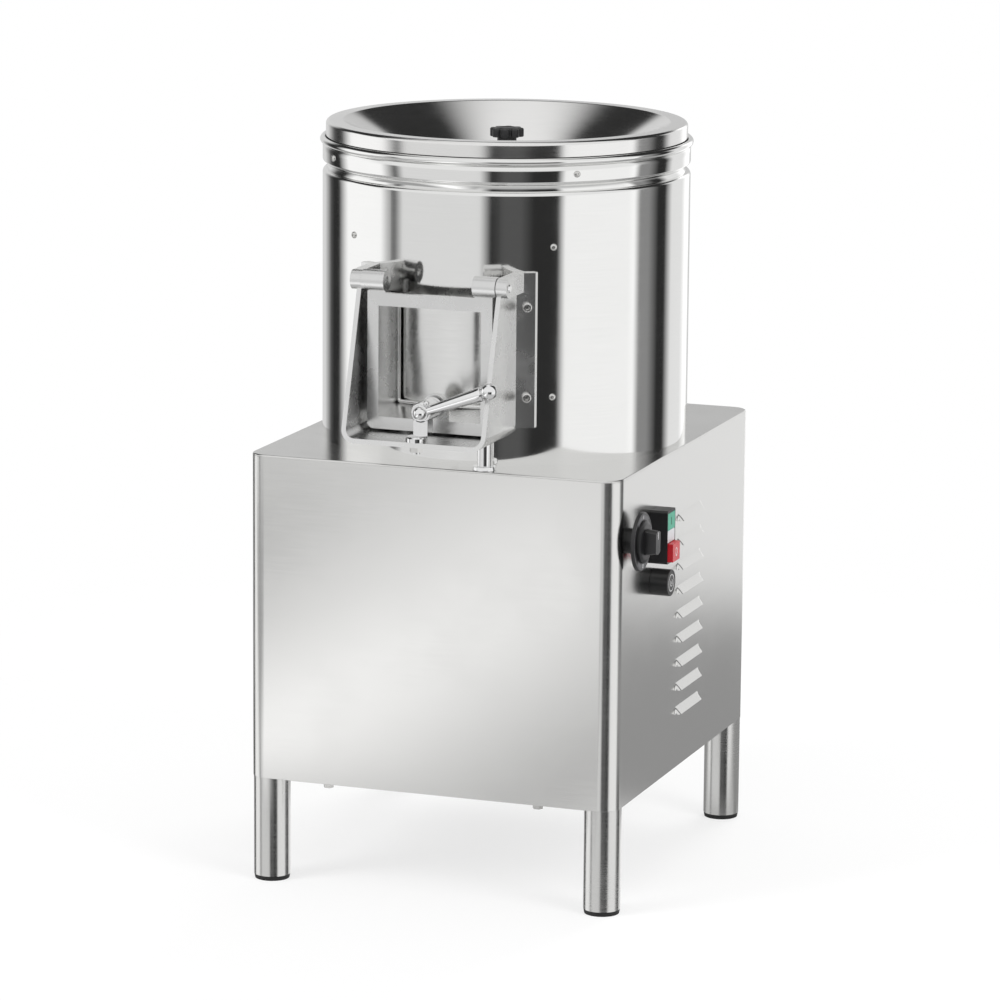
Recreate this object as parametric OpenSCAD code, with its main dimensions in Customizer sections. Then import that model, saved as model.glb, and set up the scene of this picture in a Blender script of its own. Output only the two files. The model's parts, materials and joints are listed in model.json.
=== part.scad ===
// Floor-standing drum potato peeler with a polished drum, discharge door and satin cabinet.
// Millimetres. +Z is up, +X is the control side, -Y is the door side.
// The origin is on the floor, in the middle of the four feet.

/* [Cabinet] */
// How much wider the cabinet is than the drum
over_w = 20; // [12:1:80]
// How much deeper the cabinet is than the drum
over_d = 68; // [62:1:140]
// Height of the cabinet
cab_h = 357; // [350:1:400]
// Radius of the upright corners
cab_r = 20; // [16:1:30]
// Thickness of the cabinet sheet
sheet_t = 1.5; // [1:0.1:2]
// Width of the flange folded in under the cabinet
flange_w = 42; // [38:1:50]
// Rounding of the deck's upper edge
deck_edge_r = 1.6; // [0.5:0.1:1.8]
// Thickness of the deck
deck_t = 2; // [2:0.1:3]
// Width of the service opening in the back
back_open_w = 350; // [300:1:356]

/* [Legs] */
// Diameter of the leg tubes
leg_d = 40; // [34:1:44]
// Height of the cabinet above the floor
leg_h = 116; // [80:1:160]
// Wall of the leg tubes
leg_wall = 1.5; // [1:0.1:2.5]
// Height of the plastic foot below the tube
foot_h = 5; // [3:0.5:10]
// Diameter of the leg studs
leg_stud_d = 10; // [8:1:12]

/* [Louvres] */
// Number of louvres
louvre_n = 9; // [4:1:10]
// Spacing of the louvres
louvre_pitch = 27; // [20:0.5:28]
// Length of a louvre along its lower edge
louvre_len = 84; // [60:1:90]
// How far each louvre end slopes in
louvre_slope = 10; // [6:1:14]
// Height of a louvre
louvre_h = 8.5; // [6:0.5:12]
// How far a louvre stands out
louvre_out = 6; // [3:0.5:8]
// Top of the first louvre above the cabinet's underside
louvre_z = 285; // [270:1:300]
// Middle of the louvres behind the cabinet's middle
louvre_y = 11.5; // [0:0.5:60]

/* [Drum] */
// Outer diameter of the drum
drum_d = 400; // [380:1:404]
// Drum axis right of the cabinet's middle
drum_x = 2; // [-5:0.5:5]
// Drum axis ahead of the cabinet's middle
drum_ahead = 8.5; // [0:0.5:10]
// Thickness of the drum wall
drum_wall_t = 2; // [1.5:0.1:2.5]
// Height of the plain drum wall above the deck
drum_h = 292.5; // [270:0.5:320]
// Thickness of the drum's floor plate
drum_floor_t = 3; // [2:0.5:4]
// Thickness of the grit liner
liner_t = 2.5; // [2:0.1:4]
// Width of the grit liner band
liner_h = 225; // [200:1:235]

/* [Collar and hopper] */
// Height of the groove between the drum and the collar
groove_h = 8.5; // [6:0.5:12]
// Height of the collar band
collar_h = 19; // [14:0.5:24]
// Radius of the collar's rolled bead
bead_r = 3.8; // [3:0.1:5]
// Height of the rubber seal above the bead
seal_h = 0.6; // [0.5:0.1:3]
// Height of the hopper's skirt
skirt_h = 16.3; // [12:0.1:20]
// Hopper skirt inside the drum's outer face
skirt_in = 3.5; // [3:0.1:5]
// Thickness of the hopper sheet
hopper_t = 1.5; // [1:0.1:2]
// Radius of the hopper's outer lip
lip_r = 4; // [2:0.5:5]
// Width of the hopper's flat rim
rim_w = 20; // [14:0.5:26]
// Slope of the hopper's cone, in degrees
cone_slope = 32; // [26:1:38]
// Radius of the throat
throat_r = 82; // [70:1:95]
// Overlap of the inner lid on the cone
lid_lap = 14; // [8:1:20]
// Thickness of the inner lid
lid_t = 2; // [1.5:0.1:3]

/* [Star knob] */
// Diameter of the knob
knob_d = 37; // [30:1:45]
// Height of the knob's head
knob_h = 10; // [8:0.5:14]
// Number of lobes
knob_n = 8; // [6:1:10]
// Diameter of the knob's hub
knob_hub_d = 21; // [16:1:26]
// Height of the hub
knob_hub_h = 8; // [4:0.5:12]
// Top of the knob above the lid
knob_rise = 40; // [34:0.5:46]
// Diameter of the knob's stud
knob_stud_d = 8; // [6:1:10]

/* [Chute] */
// Width over the chute's side walls
chute_w = 161; // [150:1:170]
// Thickness of the chute casting
chute_t = 5; // [4:0.5:7]
// Outer radius of the chute's lower corners
chute_r = 15; // [10:1:20]
// Underside of the chute above the deck
chute_lift = 32.5; // [28:0.5:40]
// How far the chute's floor reaches out from the drum wall
chute_reach = 86.5; // [80:0.5:100]
// How far the chute's top corner reaches out from the drum wall
chute_top_reach = 35; // [32:0.5:40]
// Width of each mounting flange on the drum
pad_w = 18; // [14:1:24]
// Thickness of the mounting flanges
pad_t = 6; // [4:0.5:8]
// Diameter of the flange screws
pad_screw_d = 6; // [5:1:6]

/* [Door] */
// How far the hinge axis lies out from the drum wall
hinge_reach = 31.5; // [29:0.5:34]
// Height of the hinge axis above the chute's underside
hinge_z = 165.5; // [160:0.5:175]
// Radius of the hinge ears
ear_r = 10.4; // [9:0.1:11]
// How far the ears stand out beyond the side walls
ear_out = 7; // [4:0.5:9]
// Radius of the door knuckles
knuckle_r = 11.5; // [10:0.1:12]
// Length of a door knuckle
knuckle_len = 25.5; // [18:0.5:28]
// Diameter of the hinge pins
pin_d = 9; // [7:0.5:10]
// Width of the door
door_w = 140; // [130:1:144]
// Gap between the door and the chute's floor
door_gap = 2.5; // [2:0.1:4]
// Gap between the door's top edge and the hinge axis
door_top_gap = 12.5; // [12:0.1:14]
// Thickness of the door's front rim
door_t = 7; // [5:0.5:9]
// Width of the door's front rim
door_rim = 12; // [10:0.5:14]
// Draft of the door's side walls from front to back
door_draft = 4.5; // [2:0.5:6]
// Rise of the door's bottom wall from front to back
door_rise = 9; // [8:0.5:12]
// Wall of the door's box
door_wall = 4.5; // [3:0.5:5.5]
// Thickness of the polished closing plate
panel_t = 2; // [1.5:0.1:2.5]

/* [Latch] */
// Latch pivot right of the chute's middle
latch_x = 6.5; // [0:0.5:15]
// Height of the latch pivot above the chute's underside
latch_z = 36; // [32:0.5:42]
// Diameter of the latch bolt
latch_bolt_d = 10; // [8:0.5:12]
// Diameter of the lever hub
hub_d = 22; // [18:0.5:24]
// Diameter of the lug on the door that holds the bolt
boss_d = 26; // [20:0.5:30]
// Length of the lever hub
hub_len = 38; // [30:0.5:40]
// Length of the lever from the pivot to its ball
lever_len = 80.5; // [60:0.5:95]
// Rest angle of the lever above level
lever_angle = 20; // [5:1:40]
// Ball diameter
ball_d = 15.6; // [12:0.2:18]
// Lever diameter at the hub
lever_d_in = 9.5; // [8:0.5:12]
// Lever diameter at the ball
lever_d_out = 14.5; // [10:0.5:15]
// Width of the cam
cam_w = 16; // [12:0.5:20]
// Diameter of the striker
striker_d = 23; // [18:0.5:26]
// Height of the striker
striker_h = 5.5; // [4:0.5:7]
// Gap between the cam and the striker
cam_gap = 0.3; // [0.2:0.1:1]

/* [Post] */
// Diameter of the chute post
post_d = 16; // [12:0.5:18]
// Post right of the chute's middle
post_x = 54; // [45:0.5:58]
// Post's middle in from the deck's front edge
post_in = 13.5; // [13:0.5:22]

/* [Controls] */
// Diameter of the rotary switch plate
dial_d = 63; // [54:1:68]
// Thickness of the rotary switch plate
dial_t = 3.4; // [3:0.1:6]
// Diameter of the neck behind the plate
dial_neck_d = 27; // [24:1:40]
// Length of the neck behind the plate
dial_neck = 11; // [6:0.5:14]
// Middle of the dial in from the front corner
dial_in = 41; // [39:0.5:46]
// Height of the rotary switch above the cabinet's underside
dial_z = 287; // [276:0.5:294]
// Diameter of the rotary knob's base
turn_d = 45; // [38:1:48]
// Length of the rotary knob's grip
grip_len = 27; // [22:1:34]
// Width of the rotary knob's grip
grip_w = 15; // [10:0.5:18]
// How far the grip stands out from the plate
grip_out = 16.5; // [12:0.5:20]
// Width of the push-button block
block_w = 27; // [24:0.5:29]
// Height of the push-button block
block_h = 58; // [54:0.5:60]
// How far the push-button block stands out
block_out = 19; // [14:0.5:22]
// How far the stop button stands out of its block
stop_out = 6; // [3:0.5:8]
// Middle of the button block in from the front corner
block_in = 123.5; // [120:0.5:128]
// Height of the block above the cabinet's underside
block_z = 277.5; // [272:0.5:286]
// Diameter of the round button
round_d = 29; // [26:0.5:32]
// How far the round button stands out
round_out = 20; // [14:0.5:22]
// Middle of the round button in from the front corner
round_in = 123; // [118:0.5:130]
// Height of the round button above the cabinet's underside
round_z = 226.5; // [216:0.5:230]
// Depth of the control box inside the wall
box_d = 58; // [50:1:70]

/* [Drive] */
// Diameter of the main shaft
shaft_d = 25; // [20:1:28]
// Outer diameter of the shaft's bearings
bearing_d = 52; // [50:1:56]
// Width of a bearing
bearing_w = 15; // [12:1:18]
// Wall of the bearing housing
housing_wall = 8; // [6:0.5:10]
// Length of the bearing housing below the deck
housing_len = 82; // [70:1:84]
// Diameter of the drum pulley
big_pulley_d = 220; // [190:1:226]
// Diameter of the motor pulley
small_pulley_d = 70; // [60:1:80]
// Height of the pulleys
pulley_h = 22; // [20:1:24]
// Distance from the deck's underside to the pulleys' middle
pulley_drop = 109; // [106:1:112]
// Width of the drive belt
belt_w = 15; // [10:1:16]
// Thickness of the drive belt
belt_t = 4.5; // [3:0.5:6]
// Motor's axis in from the cabinet's left wall
motor_side = 98; // [92:1:102]
// Motor's axis in from the cabinet's back
motor_back = 106.5; // [102:0.5:112]
// Diameter of the motor body
motor_d = 138; // [120:1:146]
// Length of the motor body
motor_len = 178; // [150:1:182]
// Diameter of the motor shaft
motor_shaft_d = 19; // [16:1:24]
// Thickness of the motor bracket
bracket_t = 5; // [4:0.5:6]

/* [Peeling disc] */
// Gap between the disc and the liner
disc_gap = 5; // [4:0.5:8]
// Thickness of the disc
disc_t = 6; // [4:0.5:8]
// Underside of the disc above the drum's floor
disc_lift = 20; // [18:0.5:22]
// Number of waves on the disc
wave_n = 3; // [2:1:4]
// Height of the waves
wave_h = 8; // [4:0.5:9]

/* [Services] */
// Outer diameter of the drain pipe
drain_d = 50; // [40:1:56]
// Wall of the drain pipe
drain_wall = 2; // [1.5:0.5:3]
// Drain right of the drum axis
drain_x = 80; // [70:1:90]
// Drain behind the drum axis
drain_y = 125; // [115:1:130]
// How far the drain stands out behind the cabinet
drain_out = 42; // [30:1:60]
// Diameter of the water inlet's thread
inlet_d = 21; // [16:0.5:22]
// Length of the water inlet's thread
inlet_len = 16; // [12:1:20]
// Height of the water inlet above the deck
inlet_z = 262; // [245:1:270]
// Diameter of the cable gland's passage
gland_d = 10; // [6:0.5:12]

/* [Clearances] */
// Radial play of a turning or sliding fit
play = 0.05; // [0.03:0.01:0.08]
// Gap between neighbouring sheet parts
seat = 0.2; // [0.1:0.05:0.3]

/* [Hidden] */
$fn = 96;
eps = 0.01;
far = 1000;
cab_top = leg_h + cab_h;
deck_low = cab_top - deck_t;
cab_w = drum_d + over_w;
cab_d = drum_d + over_d;
half_w = cab_w / 2;
half_d = cab_d / 2;
wall_in = half_w - sheet_t;
drum_y = -drum_ahead;
drum_r = drum_d / 2;
drum_in = drum_r - drum_wall_t;
liner_in = drum_in - liner_t;
floor_top = cab_top + drum_floor_t;
// Levels of the collar and hopper
groove_z = cab_top + drum_h;
collar_z = groove_z + groove_h;
bead_z = collar_z + collar_h + bead_r;
bead_top = bead_z + bead_r;
skirt_z = bead_top + seal_h;
rim_z = skirt_z + skirt_h;
skirt_r = drum_r - skirt_in;
neck_r = drum_in - seat;
cone_r = skirt_r - rim_w;
cone_tan = tan(cone_slope);
throat_z = rim_z - (cone_r - throat_r) * cone_tan;
lid_r = throat_r + lid_lap;
lid_z = rim_z - (cone_r - lid_r) * cone_tan + seat;
lid_top = lid_z + lid_t;
// Chute and door levels
chute_z = cab_top + chute_lift;
chute_far = drum_r + chute_reach;
chute_top_far = drum_r + chute_top_reach;
hinge_out = drum_r + hinge_reach;
post_out = half_d + drum_y - post_in;
chute_floor = chute_z + chute_t;
chute_in = chute_w / 2 - chute_t;
axis_z = chute_z + hinge_z;
ear_x = chute_w / 2 + ear_out;
door_z0 = chute_floor + door_gap;
door_z1 = axis_z - door_top_gap;
door_front = hinge_out + 3.5;
door_back = door_front - door_t;
box_side = door_w / 2 - door_rim + door_wall;
box_z0 = door_z0 + door_rim - door_wall;
box_z1 = door_z1 - door_rim + door_wall - 1.5;
box_back = drum_r - 15;
panel_r = drum_in - 1;
hole_side = box_side - door_draft + 2.5;
hole_z0 = box_z0 + door_rise - 7;
hole_z1 = box_z1 + 4;
knuckle_x = chute_in - 0.5;
// Latch levels
pivot_z = chute_z + latch_z;
striker_z = chute_floor + striker_h;
cam_r = pivot_z - striker_z - cam_gap;
lever_out = chute_far - 11.5;
hub_front = lever_out + 3;
latch_washer = 1.5;
// Controls
dial_ahead = half_d - dial_in;
block_ahead = half_d - block_in;
round_ahead = half_d - round_in;
dial_level = leg_h + dial_z;
block_level = leg_h + block_z;
round_level = leg_h + round_z;
red_h = 20;
lens_h = 14;
green_h = 18.5;
block_top = 3;
handle_out = lever_out + 2;
block_rim = 1.5;
plunger_x = 8;
round_rim = 2.5;
// Drive levels
nose_r = bearing_d / 2 + 5;
nose_top = floor_top + 12;
housing_low = deck_low - housing_len;
pulley_z = deck_low - pulley_drop;
pulley_low = pulley_z - pulley_h / 2;
flange_rise = 4;
belt_gap = 0.3;
big_rim = big_pulley_d / 2 - flange_rise;
small_rim = small_pulley_d / 2 - flange_rise;
shaft_r = shaft_d / 2;
disc_low = floor_top + disc_lift;
disc_top = disc_low + disc_t;
disc_r = liner_in - disc_gap;
shaft_low = pulley_low - 14;
shaft_end_r = shaft_r - 3;
bracket_z = pulley_low - 12;
base_z = leg_h + sheet_t;
base_top = base_z + sheet_t;
motor_x = half_w + drum_x - motor_side;
motor_y = half_d - drum_y - motor_back;
motor_top = bracket_z - bracket_t;
motor_low = motor_top - motor_len;
drain_z = deck_low - 62;
inlet_level = cab_top + inlet_z;
gland_x = -60;
gland_z = leg_h + 70;
leg_x = half_w - leg_d / 2;
leg_y = half_d - leg_d / 2 - 1.5;
collar_turn = -3.5;
rivet_angle = 34.3;
rivet_low = 74;
rivet_high = 234;

// ---------- helpers ----------
module rrect(w, d, r) {
    square([w - 2 * r, d], center = true);
    square([w, d - 2 * r], center = true);
    for (i = [-1, 1], j = [-1, 1]) translate([i * (w / 2 - r), j * (d / 2 - r)]) circle(r);
}

module at_drum() {
    translate([drum_x, drum_y, 0]) children();
}

module at_motor() {
    translate([drum_x - motor_x, drum_y + motor_y, 0]) children();
}

// Points the children's +Z along +X
module to_right() {
    rotate([0, 90, 0]) children();
}

// Points the children's +Z along -Y
module to_front() {
    rotate([90, 0, 0]) children();
}

module ring(r_out, r_in, h) {
    difference() {
        cylinder(r = r_out, h = h);
        translate([0, 0, -1]) cylinder(r = r_in, h = h + 2);
    }
}

// Hexagon-head screw with its head under the origin and its shank going up
module hex_screw(d, len, head_w, head_h) {
    translate([0, 0, -head_h]) cylinder(r = head_w / 2, h = head_h, $fn = 6);
    translate([0, 0, -eps]) cylinder(r = d / 2, h = len + eps);
}

// Socket-head screw: the head stands on the origin, the shank goes down
module socket_screw(d, len) {
    head_r = d * 0.83;
    difference() {
        cylinder(r = head_r, h = d);
        translate([0, 0, d * 0.4]) cylinder(r = d * 0.45, h = d, $fn = 6);
    }
    translate([0, 0, -len]) cylinder(r = d / 2, h = len + eps);
}

// Low round-head screw: the head stands on the origin, the shank goes down
module pan_screw(d, len) {
    head_r = d * 0.9;
    head_h = d * 0.45;
    ball_r = (head_r * head_r + head_h * head_h) / (2 * head_h);
    intersection() {
        translate([0, 0, head_h - ball_r]) sphere(r = ball_r);
        cylinder(r = head_r, h = head_h + 1);
    }
    translate([0, 0, -len]) cylinder(r = d / 2, h = len + eps);
}

// Places children on the drum: angle from the front, level, distance from the axis
module on_drum(angle, level, r) {
    rotate([0, 0, angle]) translate([0, -r, level]) to_front() children();
}

// ---------- cabinet ----------
// A pressed louvre: a hood with sloped ends, open along its lower edge
module louvre_hood(len, slope, h, out, back) {
    b = len / 2;
    a = b - slope;
    c = b - slope * 0.65;
    intersection() {
        rotate([90, 0, 0]) translate([0, 0, -b]) linear_extrude(len)
            polygon([[-back, 0], [-back, h], [0, h], [out, 0]]);
        linear_extrude(h) polygon([[-back, -b], [0, -b], [out, -c], [out, c], [0, b], [-back, b]]);
        translate([-back, 0, 0]) rotate([90, 0, 90]) linear_extrude(back + out)
            polygon([[-b, 0], [b, 0], [a, h], [-a, h]]);
    }
}

module at_louvres() {
    for (i = [0 : louvre_n - 1])
        translate([half_w, louvre_y, leg_h + louvre_z - louvre_h - i * louvre_pitch]) children();
}

module shell_profile() {
    difference() {
        rrect(cab_w, cab_d, cab_r);
        rrect(cab_w - 2 * sheet_t, cab_d - 2 * sheet_t, cab_r - sheet_t);
        translate([-back_open_w / 2, half_d - 2 * sheet_t]) square([back_open_w, 3 * sheet_t]);
    }
}

module base_screw_places() {
    for (x = [-1, 1], y = [-1, 1])
        translate([x * (half_w - 90), y * (half_d - 12), leg_h]) children();
}

module leg_places() {
    for (x = [-1, 1], y = [-1, 1]) translate([x * leg_x, y * leg_y, 0]) children();
}

module back_screw_places() {
    for (x = [-1, 1], z = [0.12, 0.5, 0.88])
        translate([x * (back_open_w / 2 + 8), half_d, leg_h + z * cab_h]) rotate([-90, 0, 0]) children();
}

module cabinet_shell() {
    color("silver") difference() {
        union() {
            translate([0, 0, leg_h]) linear_extrude(deck_low - leg_h) shell_profile();
            translate([0, 0, leg_h]) linear_extrude(sheet_t) difference() {
                rrect(cab_w - sheet_t, cab_d - sheet_t, cab_r - sheet_t);
                rrect(cab_w - 2 * flange_w, cab_d - 2 * flange_w, 5);
            }
            at_louvres() louvre_hood(louvre_len, louvre_slope, louvre_h, louvre_out, sheet_t / 2);
        }
        at_louvres() translate([-sheet_t * 0.7, 0, -sheet_t * 0.7])
            louvre_hood(louvre_len - 5, louvre_slope, louvre_h - 0.6, louvre_out - 0.3, sheet_t);
        leg_places() cylinder(r = leg_stud_d / 2 + seat, h = leg_h + 10);
        base_screw_places() translate([0, 0, -5]) cylinder(r = 3.2, h = 12);
        back_screw_places() translate([0, 0, -8]) cylinder(r = 2.2, h = 12);
        translate([wall_in - 5, -dial_ahead, dial_level]) to_right() cylinder(r = 11, h = 12);
        translate([wall_in - 5, -block_ahead, block_level]) to_right() cylinder(r = 11, h = 12);
        translate([wall_in - 5, -round_ahead, round_level]) to_right() cylinder(r = 11, h = 12);
    }
}

// Flat plate with rounded corners and a rounded upper edge
module soft_plate(w, d, h, r, edge) {
    linear_extrude(h - edge) rrect(w, d, r);
    translate([0, 0, h - edge]) {
        linear_extrude(edge) rrect(w - 2 * edge, d - 2 * edge, r - edge);
        for (i = [0, 1]) rotate([0, 0, i * 180]) {
            translate([w / 2 - edge, d / 2 - r, 0]) rotate([90, 0, 0])
                linear_extrude(d - 2 * r) circle_sector(edge);
            translate([-w / 2 + r, d / 2 - edge, 0]) rotate([90, 0, 90])
                linear_extrude(w - 2 * r) circle_sector(edge);
            translate([w / 2 - r, d / 2 - r, 0]) soft_corner(r, edge, 0);
            translate([-w / 2 + r, d / 2 - r, 0]) soft_corner(r, edge, 90);
        }
    }
}

module soft_corner(r, edge, turn) {
    rotate([0, 0, turn]) rotate_extrude(angle = 90) translate([r - edge, 0]) circle_sector(edge);
}

module cabinet_deck() {
    color("silver") difference() {
        union() {
            translate([0, 0, deck_low]) soft_plate(cab_w, cab_d, deck_t, cab_r, deck_edge_r);
            translate([0, 0, deck_low - 14]) linear_extrude(14 + eps) difference() {
                rrect(cab_w - 2 * sheet_t - 0.6, cab_d - 2 * sheet_t - 0.6, cab_r - sheet_t);
                rrect(cab_w - 4 * sheet_t, cab_d - 4 * sheet_t, cab_r - 2 * sheet_t);
                translate([-far / 2, half_d - 8]) square([far, 20]);
            }
        }
        at_drum() {
            cylinder(r = nose_r + seat, h = far);
            translate([drain_x, drain_y, 0]) cylinder(r = drain_d / 2 + seat, h = far);
            housing_screw_places() cylinder(r = 3.2, h = 60, center = true);
        }
    }
}

module back_panel() {
    z0 = base_top + 1;
    z1 = deck_low - 1;
    color("silver") difference() {
        translate([-back_open_w / 2 - 15, half_d - 2 * sheet_t, z0])
            cube([back_open_w + 30, sheet_t, z1 - z0]);
        back_screw_places() translate([0, 0, -8]) cylinder(r = 2.2, h = 12);
        translate([drum_x + drain_x, half_d + 5, drain_z]) to_front() cylinder(r = drain_d / 2 + 1, h = 20);
        translate([gland_x, half_d + 5, gland_z]) to_front() cylinder(r = gland_d / 2 + 3.2, h = 20);
        for (i = [0 : 7], j = [0 : 1]) translate([40 + j * 60, half_d - 8, leg_h + 60 + i * 14])
            cube([44, 16, 5]);
    }
}

module base_plate() {
    color("silver") difference() {
        translate([0, 0, base_z]) linear_extrude(sheet_t)
            rrect(cab_w - 2 * sheet_t - 1, cab_d - 2 * sheet_t - 1, cab_r - sheet_t);
        leg_places() cylinder(r = leg_stud_d / 2 + seat, h = far);
        base_screw_places() translate([0, 0, -5]) cylinder(r = 3.2, h = 12);
        for (i = [0 : 6], j = [0 : 4])
            translate([30 + i * 20, -60 + j * 30, base_z - 1]) cylinder(r = 4, h = 5);
    }
}

module leg(x, y) {
    color("silver") translate([x * leg_x, y * leg_y, 0]) {
        translate([0, 0, foot_h]) ring(leg_d / 2, leg_d / 2 - leg_wall, leg_h - foot_h - 6);
        translate([0, 0, leg_h - 6 - eps]) cylinder(r = leg_d / 2, h = 6 + eps);
        translate([0, 0, leg_h - 1]) cylinder(r = leg_stud_d / 2, h = 19);
    }
}

module feet() {
    color("black") leg_places() {
        difference() {
            cylinder(r1 = leg_d / 2 - 1.2, r2 = leg_d / 2 - 0.2, h = foot_h);
            translate([0, 0, 2]) cylinder(r = leg_d / 2 - 7, h = far);
        }
        translate([0, 0, foot_h - eps]) ring(leg_d / 2 - leg_wall - seat, leg_d / 2 - 7, 16);
    }
}

module leg_nuts() {
    color("gray") leg_places() translate([0, 0, base_top]) {
        ring(leg_stud_d * 0.98, leg_stud_d / 2 + play, 2);
        translate([0, 0, 2]) difference() {
            cylinder(r = leg_stud_d * 0.9, h = leg_stud_d * 0.8, $fn = 6);
            translate([0, 0, -1]) cylinder(r = leg_stud_d / 2 + play, h = leg_stud_d + 2);
        }
    }
}

module base_screws() {
    color("gray") base_screw_places() hex_screw(6, 10, 11.5, 6);
}

module back_panel_screws() {
    color("gray") back_screw_places() pan_screw(4, 6);
}

// ---------- drum ----------
module door_hole(grow) {
    translate([-hole_side - grow, -far, hole_z0 - grow])
        cube([2 * (hole_side + grow), far, hole_z1 - hole_z0 + 2 * grow]);
}

module rivet_places(r) {
    for (a = [-rivet_angle, rivet_angle, 180 - rivet_angle, 180 + rivet_angle], z = [rivet_low, rivet_high])
        on_drum(a, cab_top + z, r) children();
}

module collar_screw_places(r) {
    for (i = [0 : 3]) on_drum(45 + collar_turn + i * 90, collar_z + collar_h / 2, r) children();
}

module drum_wall() {
    lip = 4.8;
    recess_r = drum_r - lip;
    wall = 1.8;
    curl_z = collar_z - 3.5;
    top = collar_z + collar_h - 4;
    color("silver") at_drum() difference() {
        rotate_extrude() polygon(concat(
            [[drum_in, cab_top], [drum_r, cab_top]],
            arc_points(drum_r - lip, groove_z - lip, lip, 0, 90),
            [[recess_r, curl_z], [neck_r, collar_z - 0.5], [neck_r, top], [neck_r - wall, top],
                [neck_r - wall, collar_z], [recess_r - wall, curl_z + 0.5],
                [recess_r - wall, groove_z - lip], [drum_in, groove_z - lip - 3]]));
        door_hole(0);
        rivet_places(drum_r - 12) cylinder(r = 2.1, h = 30);
        collar_screw_places(drum_r - 16) cylinder(r = 2.7, h = 40);
        on_drum(180, inlet_level, drum_r - 16) cylinder(r = inlet_d / 2 + seat, h = 40);
    }
}

// Quarter disc in the first quadrant
module circle_sector(r) {
    intersection() {
        circle(r, $fn = 48);
        square([2 * r, 2 * r]);
    }
}

module drum_floor() {
    color("silver") at_drum() difference() {
        translate([0, 0, cab_top]) cylinder(r = drum_in - seat, h = drum_floor_t);
        cylinder(r = nose_r + seat, h = far);
        translate([drain_x, drain_y, 0]) cylinder(r = drain_d / 2 + seat, h = far);
    }
}

module grit_liner() {
    color("dimgray") at_drum() difference() {
        translate([0, 0, floor_top]) ring(drum_in - seat, liner_in, liner_h);
        door_hole(2);
        rivet_places(drum_r - 20) cylinder(r = 2.1, h = 40);
    }
}

module liner_screws() {
    color("gray") at_drum() rivet_places(drum_r) pan_screw(4, drum_r - liner_in - 0.5);
}

module collar() {
    color("silver") at_drum() difference() {
        rotate_extrude() {
            translate([drum_in + seat, collar_z + 2]) square([drum_wall_t - seat, collar_h]);
            difference() {
                translate([drum_r - 2 - eps, collar_z + 2 + eps]) circle(2, $fn = 48);
                translate([0, collar_z + 2 + eps]) square([far, 10]);
                square([drum_in + seat, far]);
            }
            translate([drum_r - 1, bead_z]) circle(bead_r, $fn = 64);
        }
        collar_screw_places(drum_r - 16) cylinder(r = 2.7, h = 40);
    }
}

module collar_screws() {
    color("gray") at_drum() collar_screw_places(drum_r) pan_screw(5, 8);
}

module hopper_seal() {
    color("black") at_drum() rotate_extrude()
        translate([skirt_r - 4 + seat, bead_z + 1]) difference() {
            square([3.4, skirt_z - bead_z - 1]);
            translate([drum_r - 1 - skirt_r + 4 - seat, -1]) circle(bead_r + 0.1, $fn = 64);
        }
}

// Points of an arc about x, z in a section
function arc_points(x, z, r, from, to) = [for (i = [0 : 8]) let (t = from + (to - from) * i / 8)
    [x + r * cos(t), z + r * sin(t)]];

// Section of the spun hopper: skirt, lip, flat rim, cone, throat and inner skirt in one outline
module hopper_section() {
    slant_t = hopper_t / cos(cone_slope);
    inner_x = skirt_r - 4 - hopper_t;
    lip_x = skirt_r - lip_r;
    lip_z = rim_z - lip_r;
    polygon(concat(
        [[inner_x, collar_z - 2], [inner_x + hopper_t, collar_z - 2], [inner_x + hopper_t, skirt_z],
            [skirt_r, skirt_z]],
        arc_points(lip_x, lip_z, lip_r, 0, 90),
        [[cone_r, rim_z], [throat_r, throat_z], [throat_r, throat_z - 8], [throat_r + hopper_t, throat_z - 8],
            [throat_r + hopper_t, throat_z - slant_t], [cone_r, rim_z - slant_t], [lip_x, rim_z - hopper_t]],
        arc_points(lip_x, lip_z, lip_r - hopper_t, 90, 0),
        [[skirt_r - hopper_t, skirt_z + hopper_t], [inner_x, skirt_z + hopper_t]]));
}

module hopper() {
    color("silver") at_drum() difference() {
        rotate_extrude() hopper_section();
        collar_screw_places(drum_r - 16) cylinder(r = 2.7, h = 40);
    }
}

module inner_lid() {
    color("silver") at_drum() difference() {
        union() {
            translate([0, 0, lid_z]) cylinder(r1 = lid_r, r2 = lid_r + lid_t / cone_tan * 0.9, h = lid_t);
            translate([0, 0, lid_top - eps]) cylinder(r1 = 30, r2 = 14, h = 4);
        }
        cylinder(r = knob_stud_d / 2 + play, h = far);
    }
}

module lid_stud() {
    top = lid_top + knob_rise - 4;
    color("gray") at_drum() {
        translate([0, 0, lid_z - 8]) cylinder(r = knob_stud_d / 2, h = top - lid_z + 8);
        translate([0, 0, lid_z - 6]) difference() {
            cylinder(r = knob_stud_d * 0.95, h = 6, $fn = 6);
            translate([0, 0, -1]) cylinder(r = knob_stud_d / 2 - eps, h = 8);
        }
        translate([0, 0, lid_top + 4]) ring(knob_stud_d * 0.9, knob_stud_d / 2 - eps,
            knob_rise - knob_h - knob_hub_h - 4);
    }
}

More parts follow.
